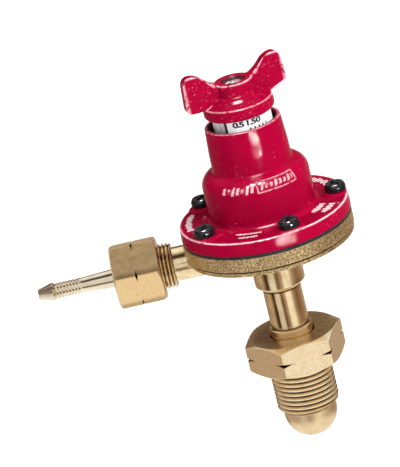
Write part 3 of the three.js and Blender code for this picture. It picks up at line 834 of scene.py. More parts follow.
def body(look):
    low, high = span("body")
    radius = high.x
    top = span("diaphragm")[0].z - 0.05
    edge_bottom, lip_bottom = 77.4, 75.6
    lip = radius - 0.3
    groove = lip - 0.75
    boss = 9.1
    underside = lip_bottom - 0.6
    disc = turned("body_brass", [
        (0, underside),
        (lip - 1.6, underside, 0.6),
        (lip, lip_bottom, 0.35),
        (lip, edge_bottom - 0.5, 0.3),
        (groove, edge_bottom - 0.35, 0.05),
        (groove, edge_bottom - 0.1, 0.05),
        (radius, edge_bottom + 0.1, 0.25),
        (radius, top, 0.25),
        (0, top),
    ], False, 256)
    machined_boss = turned("boss", [
        (0, low.z),
        (boss - 1.6, low.z, 0.3),
        (boss, low.z + 1.4, 0.4),
        (boss, underside + 1),
        (0, underside + 1),
    ], False, 160)
    casting = joined(
        rod(lip - 3, underside + 0.05, underside + 3),
        rod(boss - 0.1, low.z + 4, underside + 2),
        along_outlet(rod(6.2, 2, 27)),
    )
    cast(casting, 0.45, 14)
    thread_start = 35.3
    stub = outlet_stub(thread_start)
    obj = joined(disc, machined_boss, casting, stub)
    recess, recess_floor = 20, 79.6
    spigot_bore, spigot_end = 5.9, 68
    valve_bore, valve_end = 4.8, 75
    seat_bore, outlet_bore = 3.6, 2.5
    inlet_bores = turned("bores", [
        (0, low.z - 1),
        (spigot_bore, low.z - 1),
        (spigot_bore, spigot_end),
        (valve_bore, spigot_end),
        (valve_bore, valve_end),
        (seat_bore, valve_end),
        (seat_bore, recess_floor + 1),
        (0, recess_floor + 1),
    ], False, 96)
    mouth_end = OUTLET_END + 0.1
    mouth = turned("mouth", [(0, 45), (outlet_bore, 45), (6.4, mouth_end), (0, mouth_end)], False, 96)
    cut(
        obj,
        rod(recess, recess_floor, top + 1, 160),
        inlet_bores,
        along_outlet(rod(outlet_bore, 10, OUTLET_END + 1)),
        along_outlet(mouth),
        place(rod(1.8, OUTLET_HEIGHT, recess_floor + 1, 32), Matrix.Translation((-13 * MM, 0, 0))),
        *screw_holes(77, top + 1),
    )

    # Painted shade in the edge groove and the outlet thread's roots.
    def shade_at(points):
        radii, heights = polar(points)[1:]
        in_groove = (radii < radius - 0.5) * (radii > radius - 1.5)
        in_groove = in_groove * (np.abs(heights - edge_bottom + 0.22) < 0.2)
        outlet_radii, along = polar(points, 0)[1:]
        roots = smoothstep(G38.crest - 0.5, G38.root + 0.05, outlet_radii) * (outlet_radii > G38.root - 0.3)
        return in_groove + 0.85 * roots * (along > thread_start - 0.2)

    marked(obj, "painted_shade", shade_at)
    return present(obj, "regulator", "body_brass", look, "body", crease=28)


# ---- Valve and diaphragm -------------------------------------------------------------------------


def valve_seat(look):
    high = span("valve_seat")[1]
    bottom, shelf, step, floor = 73.5, 74.1, 4.6, 74.95
    bore, neck = 1.5, 3.55
    seat = turned("valve_seat_turned", [
        (bore, bottom, 0.1),
        (2, bottom, 0.1),
        (2.4, shelf, 0.1),
        (step, shelf, 0.1),
        (step, floor, 0.1),
        (neck, floor, 0.1),
        (neck, high.z, 0.1),
        (bore, high.z, 0.1),
    ], count=64)
    present(seat, "regulator", "turned_brass", look, "valve_seat")


def valve_poppet(brass, rubber):
    low, high = span("valve_poppet")
    guide, plug, stem = 1.7, 3.4, 0.9
    plug_bottom, plug_top = 71, 72.2
    poppet = turned("valve_poppet_turned", [
        (0, low.z),
        (guide, low.z, 0.2),
        (guide, plug_bottom, 0.1),
        (plug, plug_bottom, 0.15),
        (plug, plug_top, 0.15),
        (stem, plug_top, 0.1),
        (stem, high.z, 0.3),
        (0, high.z),
    ], False, 64)
    present(poppet, "valve", "turned_brass", brass, "valve_poppet")
    pad = flat_ring("valve_pad_rubber", "valve_pad", 1, 0.15, 64)
    present(pad, "valve", "black_rubber", rubber, "valve_pad")


def coil_spring(name, radius, wire, bottom, top, turns):
    """A round-wire coil whose end turns close up, with its wire ends closed."""
    sides, per_turn = 12, 40
    count = int(turns * per_turn)
    share = np.linspace(0, 1, count + 1)
    angle = TURN * turns * share
    height = bottom + wire + (top - bottom - 2 * wire) * (share - 0.6 * np.sin(TURN * share) / TURN)
    centre = np.stack([radius * np.cos(angle), radius * np.sin(angle), height], axis=1)
    outward = np.stack([np.cos(angle), np.sin(angle), 0 * angle], axis=1)
    up = np.array([0, 0, 1.0])
    rings = [centre + wire * (math.cos(t) * outward + math.sin(t) * up) for t in evenly(sides)]
    points = np.stack(rings, axis=1).reshape(-1, 3)
    faces = []
    for i in range(count):
        for k in range(sides):
            nearest, following = i * sides, (i + 1) * sides
            faces.append((nearest + k, nearest + (k + 1) % sides, following + (k + 1) % sides, following + k))
    faces += [list(range(sides)), list(range(count * sides, (count + 1) * sides))]
    return solid(name, points, faces)


def spring(node, body, radius, wire, turns, look):
    """A round-wire coil as tall as its node, riding on a body."""
    low, high = span(node)
    coil = coil_spring(f"{node}_wire", radius, wire, low.z, high.z, turns)
    present(coil, body, "spring_steel", look, node)
    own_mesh(coil)


def springs(look):
    spring("range_spring", "spring_carrier", 6.4, 1.05, 7, look)
    spring("valve_spring", "valve", 2.7, 0.3, 4, look)


def diaphragm(look):
    """The sheet's rim is clamped and its middle moves with the stack, with a ring of webs between them."""
    low, high = span("diaphragm")
    clamped, moving, stud_hole = 19.4, 15.0, 2.5
    rim = turned("diaphragm_rim", [
        (clamped, low.z),
        (high.x - 0.1, low.z, 0.05),
        (high.x, (low.z + high.z) / 2, 0.3),
        (high.x - 0.1, high.z, 0.05),
        (clamped, high.z),
    ], count=256)
    cut(rim, *screw_holes(low.z - 1, high.z + 1))
    present(rim, "regulator", "black_rubber", look, "diaphragm")
    outline = [(stud_hole, low.z), (moving, low.z), (moving, high.z), (stud_hole, high.z)]
    middle = turned("diaphragm_middle", outline)
    present(middle, "diaphragm_stack", "black_rubber", look)
    webs = 12
    half = math.pi / webs
    for i in range(webs):
        turn = TURN * i / webs
        name = f"diaphragm_web_{i + 1:02d}"
        web = wrapped_block(name, moving, clamped, turn - half, turn + half, low.z, high.z)
        present(web, None, "black_rubber", look)
        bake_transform(web)


def wrapped_block(name, inner, outer, first, last, bottom, top, depth_steps=8):
    """A block bent round the axis between two angles."""
    across = max(2, int(abs(last - first) * outer / 0.4))
    turns = np.linspace(first, last, across + 1)
    radii = np.linspace(inner, outer, depth_steps + 1)
    points, faces = [], []
    for t in turns:
        for z in (bottom, top):
            points += [(r * math.cos(t), r * math.sin(t), z) for r in radii]
    wide = depth_steps + 1
    for i in range(across):
        a, b = i * 2 * wide, (i + 1) * 2 * wide
        for k in range(depth_steps):
            faces.append((a + k, b + k, b + k + 1, a + k + 1))
            faces.append((a + wide + k, a + wide + k + 1, b + wide + k + 1, b + wide + k))
        faces.append((a, a + wide, b + wide, b))
        faces.append((a + wide - 1, b + wide - 1, b + 2 * wide - 1, a + 2 * wide - 1))
    for a in (0, across * 2 * wide):
        for k in range(depth_steps):
            faces.append((a + k, a + k + 1, a + wide + k + 1, a + wide + k))
    return solid(name, points, faces)


def diaphragm_stack(steel, brass):
    low, high = span("diaphragm_plate")
    stud_hole = 2.5
    plate = turned("diaphragm_plate_pressed", [
        (stud_hole, low.z, 0.1),
        (high.x - 0.9, low.z, 0.6),
        (high.x, low.z + 0.6, 0.5),
        (high.x, high.z, 0.2),
        (high.x - 0.9, high.z, 0.2),
        (high.x - 1.4, low.z + 1.2, 0.5),
        (stud_hole, low.z + 1.2, 0.1),
    ])
    present(plate, "diaphragm_stack", "plated_steel", steel, "diaphragm_plate")
    low, high = span("diaphragm_pusher")
    plate_top = span("diaphragm")[0].z - 0.05
    pusher = turned("diaphragm_pusher_turned", [
        (0, low.z),
        (high.x - 0.5, low.z, 0.3),
        (high.x, low.z + 0.4, 0.2),
        (high.x, plate_top, 0.1),
        (2.4, plate_top, 0.1),
        (2.4, high.z, 0.4),
        (0, high.z),
    ], False)
    present(pusher, "diaphragm_stack", "turned_brass", brass, "diaphragm_pusher")
    low, high = span("diaphragm_nut")
    hexagon = Hexagon(8, 0, low.z, high.z, 0.01)
    below = fixed([(stud_hole, low.z + 0.3), (stud_hole + 0.3, low.z)])
    above = fixed([(stud_hole + 0.3, high.z), (stud_hole, high.z - 0.3)])
    small_nut = nut("diaphragm_nut_hex", hexagon, below, above)
    present(small_nut, "diaphragm_stack", "plated_steel", steel, "diaphragm_nut")


# ---- Bonnet --------------------------------------------------------------------------------------

FLANGE_TOP = 88.5
PAD_RADIUS = 5.2
PAD_RISE = 0.8
BULGE = 19.25
VIEWED_SIDE = radians(-87)


def pad_rise(x, y):
    """How far the flange's top stands up for the screw pads."""
    rise = np.zeros_like(x)
    for angle in SCREW_ANGLES:
        centre_x = SCREW_CIRCLE * math.cos(radians(angle))
        centre_y = SCREW_CIRCLE * math.sin(radians(angle))
        away = np.hypot(x - centre_x, y - centre_y)
        rise = np.maximum(rise, smoothstep(PAD_RADIUS + 0.5, PAD_RADIUS - 0.7, away))
    return rise * PAD_RISE


def strokes(across, up, first, last, half_height):
    """A row of plain slanted ribs of three heights between two places: 1 where raised."""
    pitch = 1.8
    slanted = across - 0.25 * up
    rib = np.abs((slanted / pitch) % 1 - 0.5) * pitch
    order = np.floor(slanted / pitch) % 3
    tall = half_height * (1 - 0.22 * order)
    row = smoothstep(0.62, 0.42, rib) * smoothstep(tall + 0.12, tall - 0.12, np.abs(up))
    return row * (slanted > first) * (slanted < last)


def raised_pattern(across, up):
    """Plain ribs, and a plain frame round more of them: 1 where raised. The measures are in millimetres."""
    half_width, half_height, line = 7.7, 2.25, 0.5
    inside = np.minimum(half_width - np.abs(across - 6.8), half_height - np.abs(up - 2.6))
    border = smoothstep(-0.12, 0.12, inside) * smoothstep(line + 0.12, line - 0.12, inside)
    left = strokes(across, up - 2.2, -14.2, -1.6, 1.45)
    right = strokes(across, up - 2.6, 0.6, 13.4, 1.2)
    return np.maximum(border, np.maximum(left, right))


def bonnet(look):
    low, high = span("bonnet")
    radius, rim_top = high.x, high.z
    shoulder, shoulder_height = 5.2, 100.8
    shoulder_centre = BULGE - shoulder
    thread_bore, thread_top, chamber, recess = 10.1, 113.3, 16.0, 20.0
    outline = [
        (recess, low.z, 0.2),
        (radius - 0.05, low.z, 0.3),
        (radius, low.z + 0.9, 2),
        (radius - 0.25, FLANGE_TOP - 0.9),
        (radius - 0.3, FLANGE_TOP, 0.6),
        (BULGE - 0.1, FLANGE_TOP, 1.7),
        *arc(shoulder_centre, shoulder_height, shoulder, 0, 72, 10),
        (14.3, shoulder_height + shoulder + 0.2, 0.8),
        (14.2, 112.5, 12),
        (13.6, rim_top, 0.45),
        (11.8, rim_top, 0.35),
        (11.8, thread_top, 0.3),
        (thread_bore, thread_top, 0.2),
        (thread_bore, 104.5, 0.3),
        (13.2, 104.2, 0.4),
        (chamber, 101, 1),
        (chamber, 87.6, 0.8),
        (recess, 84.8, 0.6),
    ]
    shoulder_top = shoulder_height + shoulder
    points = dense(rounded(outline, steps=6), 0.34, chamber + 0.5, FLANGE_TOP - 0.01, shoulder_top)
    count = 450
    radii, heights = (column.copy() for column in everywhere(points, count))
    angles = evenly(count)
    x, y = radii * np.cos(angles[:, None]), radii * np.sin(angles[:, None])
    outer_top = (heights > FLANGE_TOP - 0.8) & (radii > chamber + 2)
    on_flange = outer_top & (heights < FLANGE_TOP + 2)
    edge_fade = smoothstep(radius, radius - 0.9, radii)
    heights += on_flange * pad_rise(x, y) * edge_fade * smoothstep(FLANGE_TOP - 0.8, FLANGE_TOP, heights)
    around = (angles[:, None] - VIEWED_SIDE + math.pi) % TURN - math.pi
    lean = np.arctan2(heights - shoulder_height, radii - shoulder_centre)
    on_shoulder = (radii > chamber + 0.2) & (heights > shoulder_height - 1)
    pattern_rise = 0.36
    pattern = pattern_rise * raised_pattern(around * BULGE, lean * shoulder) * on_shoulder
    radii += pattern * np.cos(lean)
    heights += pattern * np.sin(lean)
    obj = skin("bonnet_cast", angles, radii, heights)

    # Painted highlights: a pale line along the flange's top edge, a fainter one round the rim, and the raised
    # pattern's tops.
    def painted_highlight(points):
        radii, heights = polar(points)[1:]
        edge = smoothstep(0.5, 0.1, np.hypot(radii - radius + 0.5, heights - FLANGE_TOP + 0.1))
        rim = smoothstep(0.35, 0.1, np.hypot(radii - 13.4, heights - rim_top))
        raised = np.hypot(heights - shoulder_height, radii - shoulder_centre) - shoulder
        on_pattern = (heights > shoulder_height - 1) & (radii > chamber + 0.2)
        return edge + 0.5 * rim + 0.75 * on_pattern * smoothstep(0.1, 0.3, raised)

    marked(obj, "painted_highlight", painted_highlight)
    vent_height = 95 * MM
    vent = rod(1.2, 12, BULGE + 2, 48)
    place(vent, Matrix.Translation((0, 0, vent_height)) @ Matrix.Rotation(-math.pi / 2, 4, "X"))
    cut(obj, vent, *screw_holes(low.z - 1, FLANGE_TOP + PAD_RISE + 1))
    return present(obj, "regulator", "red_paint", look, "bonnet")


def print_on(name, inner, outer, first, last):
    """A printed mark on the flange's top, a hair proud of it."""
    return wrapped_block(name, inner, outer, first, last, FLANGE_TOP - 0.05, FLANGE_TOP + 0.03, 1)


def dashes(name, look, middle, height, first, last, count, fill):
    """A row of plain dashes of uneven height between two angles, all one piece."""
    step = (last - first) / count
    row = None
    for i in range(count):
        half = height * (0.55 + 0.45 * ((i * 7) % 5) / 4) / 2
        start = first + i * step
        dash = print_on(name, middle - half, middle + half, radians(start), radians(start + step * fill))
        row = joined(row, dash) if row else dash
    return present(row, "regulator", "white_label", look)


def flange_print(look):
    """Rows of plain dashes where wording would be."""
    dashes("print_left", look, 27.0, 2.6, 160, 194, 13, 0.62)
    dashes("print_front_outer", look, 22.6, 1.3, -118, -94, 12, 0.7)
    dashes("print_front_inner", look, 25.6, 1.3, -113, -97, 9, 0.7)
    dashes("print_right_inner", look, 22.6, 2.9, -41, -21, 7, 0.68)
    dashes("print_right_outer", look, 26.4, 2.9, -39, -22, 7, 0.68)
    dashes("print_back_right", look, 26.4, 3.4, 17, 52, 12, 0.6)


def flange_screws(look):
    low, high = span("flange_screw_1")
    shank, head = 1.95, 3.8
    slot_width, slot_length, slot_depth = 1.35, 5.4, 1.6
    head_bottom = FLANGE_TOP + PAD_RISE + 0.05
    made = []
    for i, angle in enumerate(SCREW_ANGLES):
        screw = turned("screw", [
            (0, low.z),
            (shank - 0.3, low.z, 0.1),
            (shank, low.z + 0.4, 0.1),
            (shank, head_bottom, 0.1),
            (head, head_bottom, 0.2),
            (head, high.z - 1.2, 0.6),
            (head * 0.84, high.z, 0.4),
            (head * 0.74, high.z),
            (0, high.z),
        ], False, 72, steps=6)
        slot_turn = 35 + 31 * i
        for turn in (slot_turn, slot_turn + 90):
            cut(screw, block(slot_width, slot_length, 2 * slot_depth, (0, 0, high.z), turn))
        bevelled(screw, 0.16, 50)
        # Painted reflection: the head's top face is paler.
        marked(screw, "painted_highlight", lambda points: smoothstep(high.z - 0.15, high.z - 0.02, points[:, 2]))
        screw.name = f"flange_screw_{i + 1}_steel"
        on_screw_circle(screw, angle)
        present(screw, "regulator", "black_screw", look, f"flange_screw_{i + 1}", crease=30)
        made.append(screw)
    return made


# ---- Knob ----------------------------------------------------------------------------------------

WING_AZIMUTH = 16.7
HUB_RADIUS = 6.9
HUB_TOP = 137.8
RECESS_FLOOR = 134.5
WING_BOTTOM = 130.4
WING_THICKNESS = 4.0


def bend(start, control, end, steps=6):
    """Points of a quadratic curve, without its start."""
    start, control, end = (np.array(p, float) for p in (start, control, end))
    shares = [(k + 1) / steps for k in range(steps)]
    return [(1 - t) ** 2 * start + 2 * t * (1 - t) * control + t * t * end for t in shares]


def wing(turn):
    """One paddle of the knob, from the hub outwards."""
    knob_top = span("wing_knob")[1].z
    bottom, reach = WING_BOTTOM, 18.9
    outline = [(0, bottom + 1), (HUB_RADIUS, bottom + 0.6)]
    outline += bend(outline[-1], (13, bottom - 0.4), (reach - 2, bottom))
    outline += bend(outline[-1], (reach, bottom + 0.3), (reach, bottom + 2.4))
    outline.append((reach - 0.5, knob_top - 2.8))
    outline += bend(outline[-1], (reach - 1, knob_top), (reach - 3.4, knob_top))
    outline += bend(outline[-1], (13.2, knob_top - 0.1), (11.3, knob_top - 1.7))
    outline += bend(outline[-1], (9, HUB_TOP + 1.6), (HUB_RADIUS - 0.5, HUB_TOP + 0.4))
    outline.append((0, HUB_TOP))
    paddle = prism("wing", outline, WING_THICKNESS)
    return place(paddle, Matrix.Rotation(radians(turn), 4, "Z"))


def wing_knob(look):
    low, high = span("wing_knob")
    knob_top = high.z
    skirt, skirt_top = 12.65, 130.8
    blank = turned("wing_knob_cast", [
        (0, low.z),
        (skirt - 0.6, low.z, 0.3),
        (skirt, low.z + 0.9, 0.5),
        (skirt, skirt_top - 0.6, 0.7),
        (skirt - 2.6, skirt_top + 0.5, 0.6),
        (HUB_RADIUS + 2.6, skirt_top + 0.7, 0.5),
        (HUB_RADIUS + 1.9, skirt_top + 1.7, 0.5),
        (HUB_RADIUS + 0.1, skirt_top + 2.1, 0.6),
        (HUB_RADIUS, HUB_TOP, 0.6),
        (0, HUB_TOP),
    ], False, 160)
    joined(blank, wing(WING_AZIMUTH), wing(WING_AZIMUTH + 180))
    cast(blank, 0.24, 7)
    barrel_top = span("adjusting_barrel")[1].z
    pocket_radius, pocket_top = 10.95, barrel_top + 0.1
    pocket = turned("pocket", [
        (0, low.z - 1),
        (pocket_radius + 0.55, low.z - 1),
        (pocket_radius, low.z + 0.5),
        (pocket_radius, pocket_top),
        (0, pocket_top),
    ], False, 160)
    recess_radius, mouth = 4.1, HUB_TOP + 0.6
    recess = turned("recess", [
        (0, RECESS_FLOOR),
        (recess_radius, RECESS_FLOOR, 0.3),
        (recess_radius, HUB_TOP - 0.5),
        (recess_radius + 1.1, mouth),
        (0, mouth),
    ], False, 96)
    cut(blank, pocket, recess, rod(2.1, low.z, HUB_TOP))
    face_line = WING_THICKNESS / 2 - 0.2
    # The centre of a pale painted highlight patch on one wing's lower outer corner.
    corner_centre = Vector((16.2 * math.cos(radians(WING_AZIMUTH)), 0, WING_BOTTOM + 0.8))

    # Painted highlights: pale lines along the wings' edges and the hub's and skirt's top edges, and a pale
    # patch on one wing's lower outer corner.
    def painted_highlight(points):
        angles, radii, heights = polar(points)
        turn = angles - radians(WING_AZIMUTH)
        face = smoothstep(0.34, 0.1, np.abs(np.abs(radii * np.sin(turn)) - face_line))
        face = face * (radii > HUB_RADIUS + 0.5)
        upper = HUB_TOP + (knob_top - HUB_TOP) * smoothstep(HUB_RADIUS, 13.5, radii)
        outer = smoothstep(17.3, 18.2, np.abs(radii * np.cos(turn)))
        wing_edge = face * np.maximum(outer, smoothstep(0.95, 0.4, np.abs(heights - upper)))
        hub_edge = smoothstep(0.42, 0.12, np.hypot(radii - HUB_RADIUS + 0.2, heights - HUB_TOP + 0.2))
        skirt_edge = smoothstep(0.42, 0.12, np.hypot(radii - skirt + 0.2, heights - skirt_top + 0.5))
        corner = np.hypot(points[:, 0] - corner_centre.x, points[:, 2] - corner_centre.z)
        slanted = heights + 0.4 * (corner_centre.x - points[:, 0])
        under = smoothstep(WING_BOTTOM + 1.5, WING_BOTTOM + 1.1, slanted)
        corner_highlight = smoothstep(3.6, 3.0, corner) * under * (radii * np.sin(turn) < -0.8)
        return 0.75 * wing_edge + 0.7 * hub_edge + 0.5 * skirt_edge + 2 * corner_highlight

    marked(blank, "painted_highlight", painted_highlight)
    return present(blank, "knob", "red_paint", look, "wing_knob", crease=40)


def knob_screw(look):
    low, high = span("knob_screw")
    seat = RECESS_FLOOR + 0.05
    shank, head = 1.9, 3.7
    screw = turned("knob_screw_slotted", [
        (0, low.z),
        (shank - 0.4, low.z, 0.1),
        (shank, low.z + 0.4, 0.1),
        (shank, seat, 0.1),
        (head, seat, 0.15),
        (head, seat + 1.3, 0.5),
        (head - 1.1, high.z, 0.8),
        (0, high.z),
    ], False, 72)
    slot_width, slot_depth, slot_turn = 0.9, 0.8, 20
    cut(screw, block(slot_width, 9, 2 * slot_depth, (0, 0, high.z), slot_turn))
    return present(screw, "knob", "plated_steel", look, "knob_screw")


def adjusting_barrel(look):
    low, high = span("adjusting_barrel")
    thread, plain, inner, roof = 10.0, high.x, 8.0, 123.0
    shoulder = 116.9
    pitch = 1.5
    outline = [(inner, low.z, 0.2), (thread - 0.5, low.z), (thread, low.z + 0.5)]
    first_ridge = low.z + 1
    turns = int((shoulder - 2 - first_ridge) / pitch)
    for i in range(turns):
        start = first_ridge + i * pitch
        outline += [(thread, start), (thread - 0.8, start + pitch / 2)]
    outline += [
        (thread, first_ridge + turns * pitch),
        (thread, shoulder, 0.1),
        (plain, shoulder, 0.1),
        (plain, high.z, 0.2),
        (2, high.z, 0.1),
        (2, roof, 0.1),
        (inner, roof, 0.3),
    ]
    barrel = turned("adjusting_barrel_zinc", outline)
    return present(barrel, "knob", "barrel_zinc", look, "adjusting_barrel", crease=28)


LABEL_INNER = 10.35
LABEL_FACE = 10.65


def dial_label(film, black):
    """The white strip round the barrel, its printed figures and ticks, and a black strip at its end, a
    painted shadow beside the seam.
    """
    low, high = span("dial_label")
    first, last, shadow_width = -120, 150, 6

    def strip(name, start, end):
        return wrapped_block(name, LABEL_INNER, LABEL_FACE, radians(start), radians(end), low.z, high.z, 2)

    present(strip("dial_label_film", first, last), "knob", "white_label", film, "dial_label")
    numbers = [("0", -103), (".", -97), ("5", -91), ("1", -79), (".", -73), ("5", -67), ("0", -57)]
    for i, (figure, angle) in enumerate(numbers):
        mark = dial_figure(f"dial_number_{i + 1}", figure, angle)
        present(mark, "knob", "black_rubber", black)
    ticks, first_tick, tick_step, half_width = 5, -76, 9, radians(1.8)
    tick_bottom, tick_top = 121.7, 122.5
    inner, outer = LABEL_FACE - 0.05, LABEL_FACE + 0.03
    for i in range(ticks):
        centre = radians(first_tick + tick_step * i)
        start, end = centre - half_width, centre + half_width
        tick = wrapped_block(f"dial_tick_{i + 1}", inner, outer, start, end, tick_bottom, tick_top, 1)
        present(tick, "knob", "black_rubber", black)
    # A black strip beside the seam: painted shadow.
    present(strip("dial_label_seam_shadow", first - shadow_width, first), "knob", "black_rubber", black)


def dial_figure(name, figure, angle):
    """A printed figure wrapped round the dial, a hair proud of it."""
    height, size, widened = 123.5, 1.95 * 1.35, 1.45
    writing = bpy.data.curves.new("figure", "FONT")
    writing.body = figure
    writing.size = size
    writing.extrude = 0.04
    writing.offset = 0.12
    writing.align_x = "CENTER"
    flat = bpy.data.objects.new("figure", writing)
    bpy.context.scene.collection.objects.link(flat)
    graph = bpy.context.evaluated_depsgraph_get()
    mesh = bpy.data.meshes.new_from_object(flat.evaluated_get(graph), depsgraph=graph)
    points = np.array([v.co for v in mesh.vertices])
    faces = [list(p.vertices) for p in mesh.polygons]
    bpy.data.objects.remove(flat)
    turns = radians(angle) + points[:, 0] * widened / LABEL_FACE
    away = LABEL_FACE + points[:, 2] - 0.01
    wrapped = np.stack([away * np.cos(turns), away * np.sin(turns), height + points[:, 1]], axis=1)
    return solid(name, wrapped, faces)


def spring_button(look):
    low, high = span("spring_button")
    wide, boss, ledge = high.x, 4.9, low.z + 2.1
    button = turned("spring_button_plated", [
        (0, low.z),
        (boss - 0.4, low.z, 0.2),
        (boss, low.z + 0.6, 0.2),
        (boss, ledge, 0.2),
        (wide, ledge, 0.2),
        (wide, high.z - 0.4, 0.2),
        (wide - 0.4, high.z, 0.2),
        (0, high.z),
    ], False)
    return present(button, "spring_carrier", "plated_steel", look, "spring_button")


# ---- Outlet union --------------------------------------------------------------------------------


def union_nut(look):
    low, high = span("union_nut")
    start, end = -high.x, -low.x
    wall, bore, thread_bore = 54.5, 3.6, G38.crest + 0.1
    hexagon = Hexagon(22, -74.4, start, end, 1.1)
    below = fixed([
        (bore, end - 0.3),
        (bore, wall, 0.1),
        (thread_bore, wall, 0.3),
        (thread_bore, start + 0.4),
        (thread_bore + 0.4, start),
    ])
    above = fixed([(bore + 1, end), (bore + 0.3, end)])
    obj = along_outlet(nut("union_nut_hex", hexagon, below, above))

    # Painted shade in the V groove and along one side of each corner.
    def shade_at(angles, radii, heights):
        beside_corner = from_corner(angles - hexagon.corner_at)
        shaded = smoothstep(0.2, 0.06, beside_corner) * (beside_corner > 0.01) * (radii > hexagon.face - 0.1)
        return hexagon.groove_shade(angles, radii, heights) + 0.45 * shaded

    marked(obj, "painted_shade", lambda points: shade_at(*polar(points, 0)))
    # Painted highlights along the chamfer edges.
    marked(obj, "painted_highlight", lambda points: hexagon.edge_highlight(*polar(points, 0)))
    return present(obj, "union_nut_body", "nut_brass", look, "union_nut", crease=24)


def hose_tail(look):
    nut_end = -span("union_nut")[0].x
    tip = -span("hose_tail")[0].x
    entry, bore, neck, cone, flange = 1.6, 1.2, 3.3, 5.9, 7.4
    cone_start, cone_end, flange_start, flange_end = 46.2, 48.9, 51, 54.4
    first_ridge, pitch, ridges = 69.5, 1.15, 8
    crest, root = 2.92, 2.5
    outline = [
        (entry, cone_start, 0.1),
        (neck, cone_start, 0.2),
        (cone, cone_end, 0.4),
        (cone, flange_start, 0.1),
        (flange, flange_start, 0.2),
        (flange, flange_end, 0.3),
        (neck, flange_end, 0.2),
        (neck, nut_end + 1),
        (crest - 0.2, first_ridge - 0.3, 0.3),
    ]
    for i in range(ridges):
        ridge = first_ridge + i * pitch
        corners = ((crest, ridge + 0.12), (crest, ridge + 0.32), (root, ridge + pitch - 0.12))
        outline += [(*corner, 0.05) for corner in corners]
    barb = first_ridge + ridges * pitch + 0.7
    outline += [
        (neck, barb, 0.12),
        (neck, barb + 0.35, 0.2),
        (1.8, tip, 0.15),
        (bore, tip, 0.1),
        (bore, first_ridge, 0.1),
        (entry, first_ridge - 1, 0.1),
    ]
    obj = along_outlet(turned("hose_tail_turned", outline, count=96))
    barb_end = -(barb + 0.3)

    # Painted shade on the upper side of the tip, beyond the barb.
    def shade_at(points):
        on_tip = smoothstep(barb_end + 0.3, barb_end - 0.1, points[:, 0])
        return 0.75 * on_tip * smoothstep(OUTLET_HEIGHT + 0.2, OUTLET_HEIGHT + 0.9, points[:, 2])

    marked(obj, "painted_shade", shade_at)
    return present(obj, "tail", "turned_brass", look, "hose_tail", crease=30)


# ---- Stage ---------------------------------------------------------------------------------------

TARGET = Vector((-23.8, -0.4, 84.7)) * MM
DISTANCE = 1000 * MM
ELEVATION = radians(20.46)
HEADING = radians(3.16)
ROLL = radians(13.89)
TOWARD = Vector((math.sin(HEADING), -math.cos(HEADING), 0))
RIGHT = Vector((math.cos(HEADING), math.sin(HEADING), 0))
UP = Vector((0, 0, 1))


def direction(side, height):
    """The way to a light: degrees right of the camera, and degrees above the horizon."""
    flat = TOWARD * math.cos(radians(side)) + RIGHT * math.sin(radians(side))
    return flat * math.cos(radians(height)) + UP * math.sin(radians(height))


def camera():
    lens = bpy.data.cameras.new("camera")
    lens.lens = 217.3
    lens.sensor_width = 36
    lens.clip_start, lens.clip_end = 0.01, 20
    obj = bpy.data.objects.new("camera", lens)
    bpy.context.scene.collection.objects.link(obj)
    back = TOWARD * math.cos(ELEVATION) + UP * math.sin(ELEVATION)
    level_up = back.cross(RIGHT)
    right = RIGHT * math.cos(ROLL) - level_up * math.sin(ROLL)
    up = level_up * math.cos(ROLL) + RIGHT * math.sin(ROLL)
    turn = Matrix((right, up, back)).transposed().to_4x4()
    obj.matrix_world = Matrix.Translation(TARGET + back * DISTANCE) @ turn
    bpy.context.scene.camera = obj


def softbox(name, side, height, away, width, tall, power, receivers=None):
    """An area light aimed at the object, hidden from the camera. With receivers, it only shines off them."""
    lamp = bpy.data.lights.new(name, "AREA")
    lamp.shape = "RECTANGLE"
    lamp.size, lamp.size_y = width, tall
    lamp.energy = power
    obj = bpy.data.objects.new(name, lamp)
    bpy.context.scene.collection.objects.link(obj)
    way = direction(side, height)
    obj.location = TARGET + way * away
    obj.rotation_mode = "QUATERNION"
    obj.rotation_quaternion = way.to_track_quat("Z", "Y")
    obj.visible_camera = False
    if receivers:
        obj.visible_diffuse = False
        obj.light_linking.receiver_collection = receivers
    else:
        obj.visible_glossy = False
    return obj


def floor():
    half, below = 4.0, 0.25
    corners = [(-half, -half, -below), (half, -half, -below), (half, half, -below), (-half, half, -below)]
    obj = solid("floor", np.array(corners) / MM, [(0, 1, 2, 3)])
    look = Look("floor_white", (0.92, 0.92, 0.92), 0.9)
    look.colour(look.colours(look.noise(600), 0.3, 0.7, (0.9, 0.9, 0.9), (0.94, 0.94, 0.94)))
    look.set("Emission Color", (1, 1, 1))
    look.set("Emission Strength", 0.35)
    obj.data.materials.append(look.material)
    obj.visible_glossy = False


def studio_ramp(nodes, share, stops):
    """Brightness along a share from 0 to 1. The darker it is, the warmer."""
    ramp = nodes.add("ShaderNodeValToRGB")
    nodes.feed(ramp.inputs["Fac"], share)
    elements = ramp.color_ramp.elements
    for spare in list(elements)[1:]:
        elements.remove(spare)
    elements[0].position = 0
    for along, level in stops:
        element = elements.new(along) if along else elements[0]
        warm = min(1, 0.5 + 0.6 * level)
        element.color = (level, level * warm, level * warm * warm, 1)
    return ramp.outputs["Color"]


def rising(stops):
    """Turns degrees above the horizon into a share of the way from straight down to straight up."""
    return [(math.sin(radians(height)) / 2 + 0.5, level) for height, level in stops]


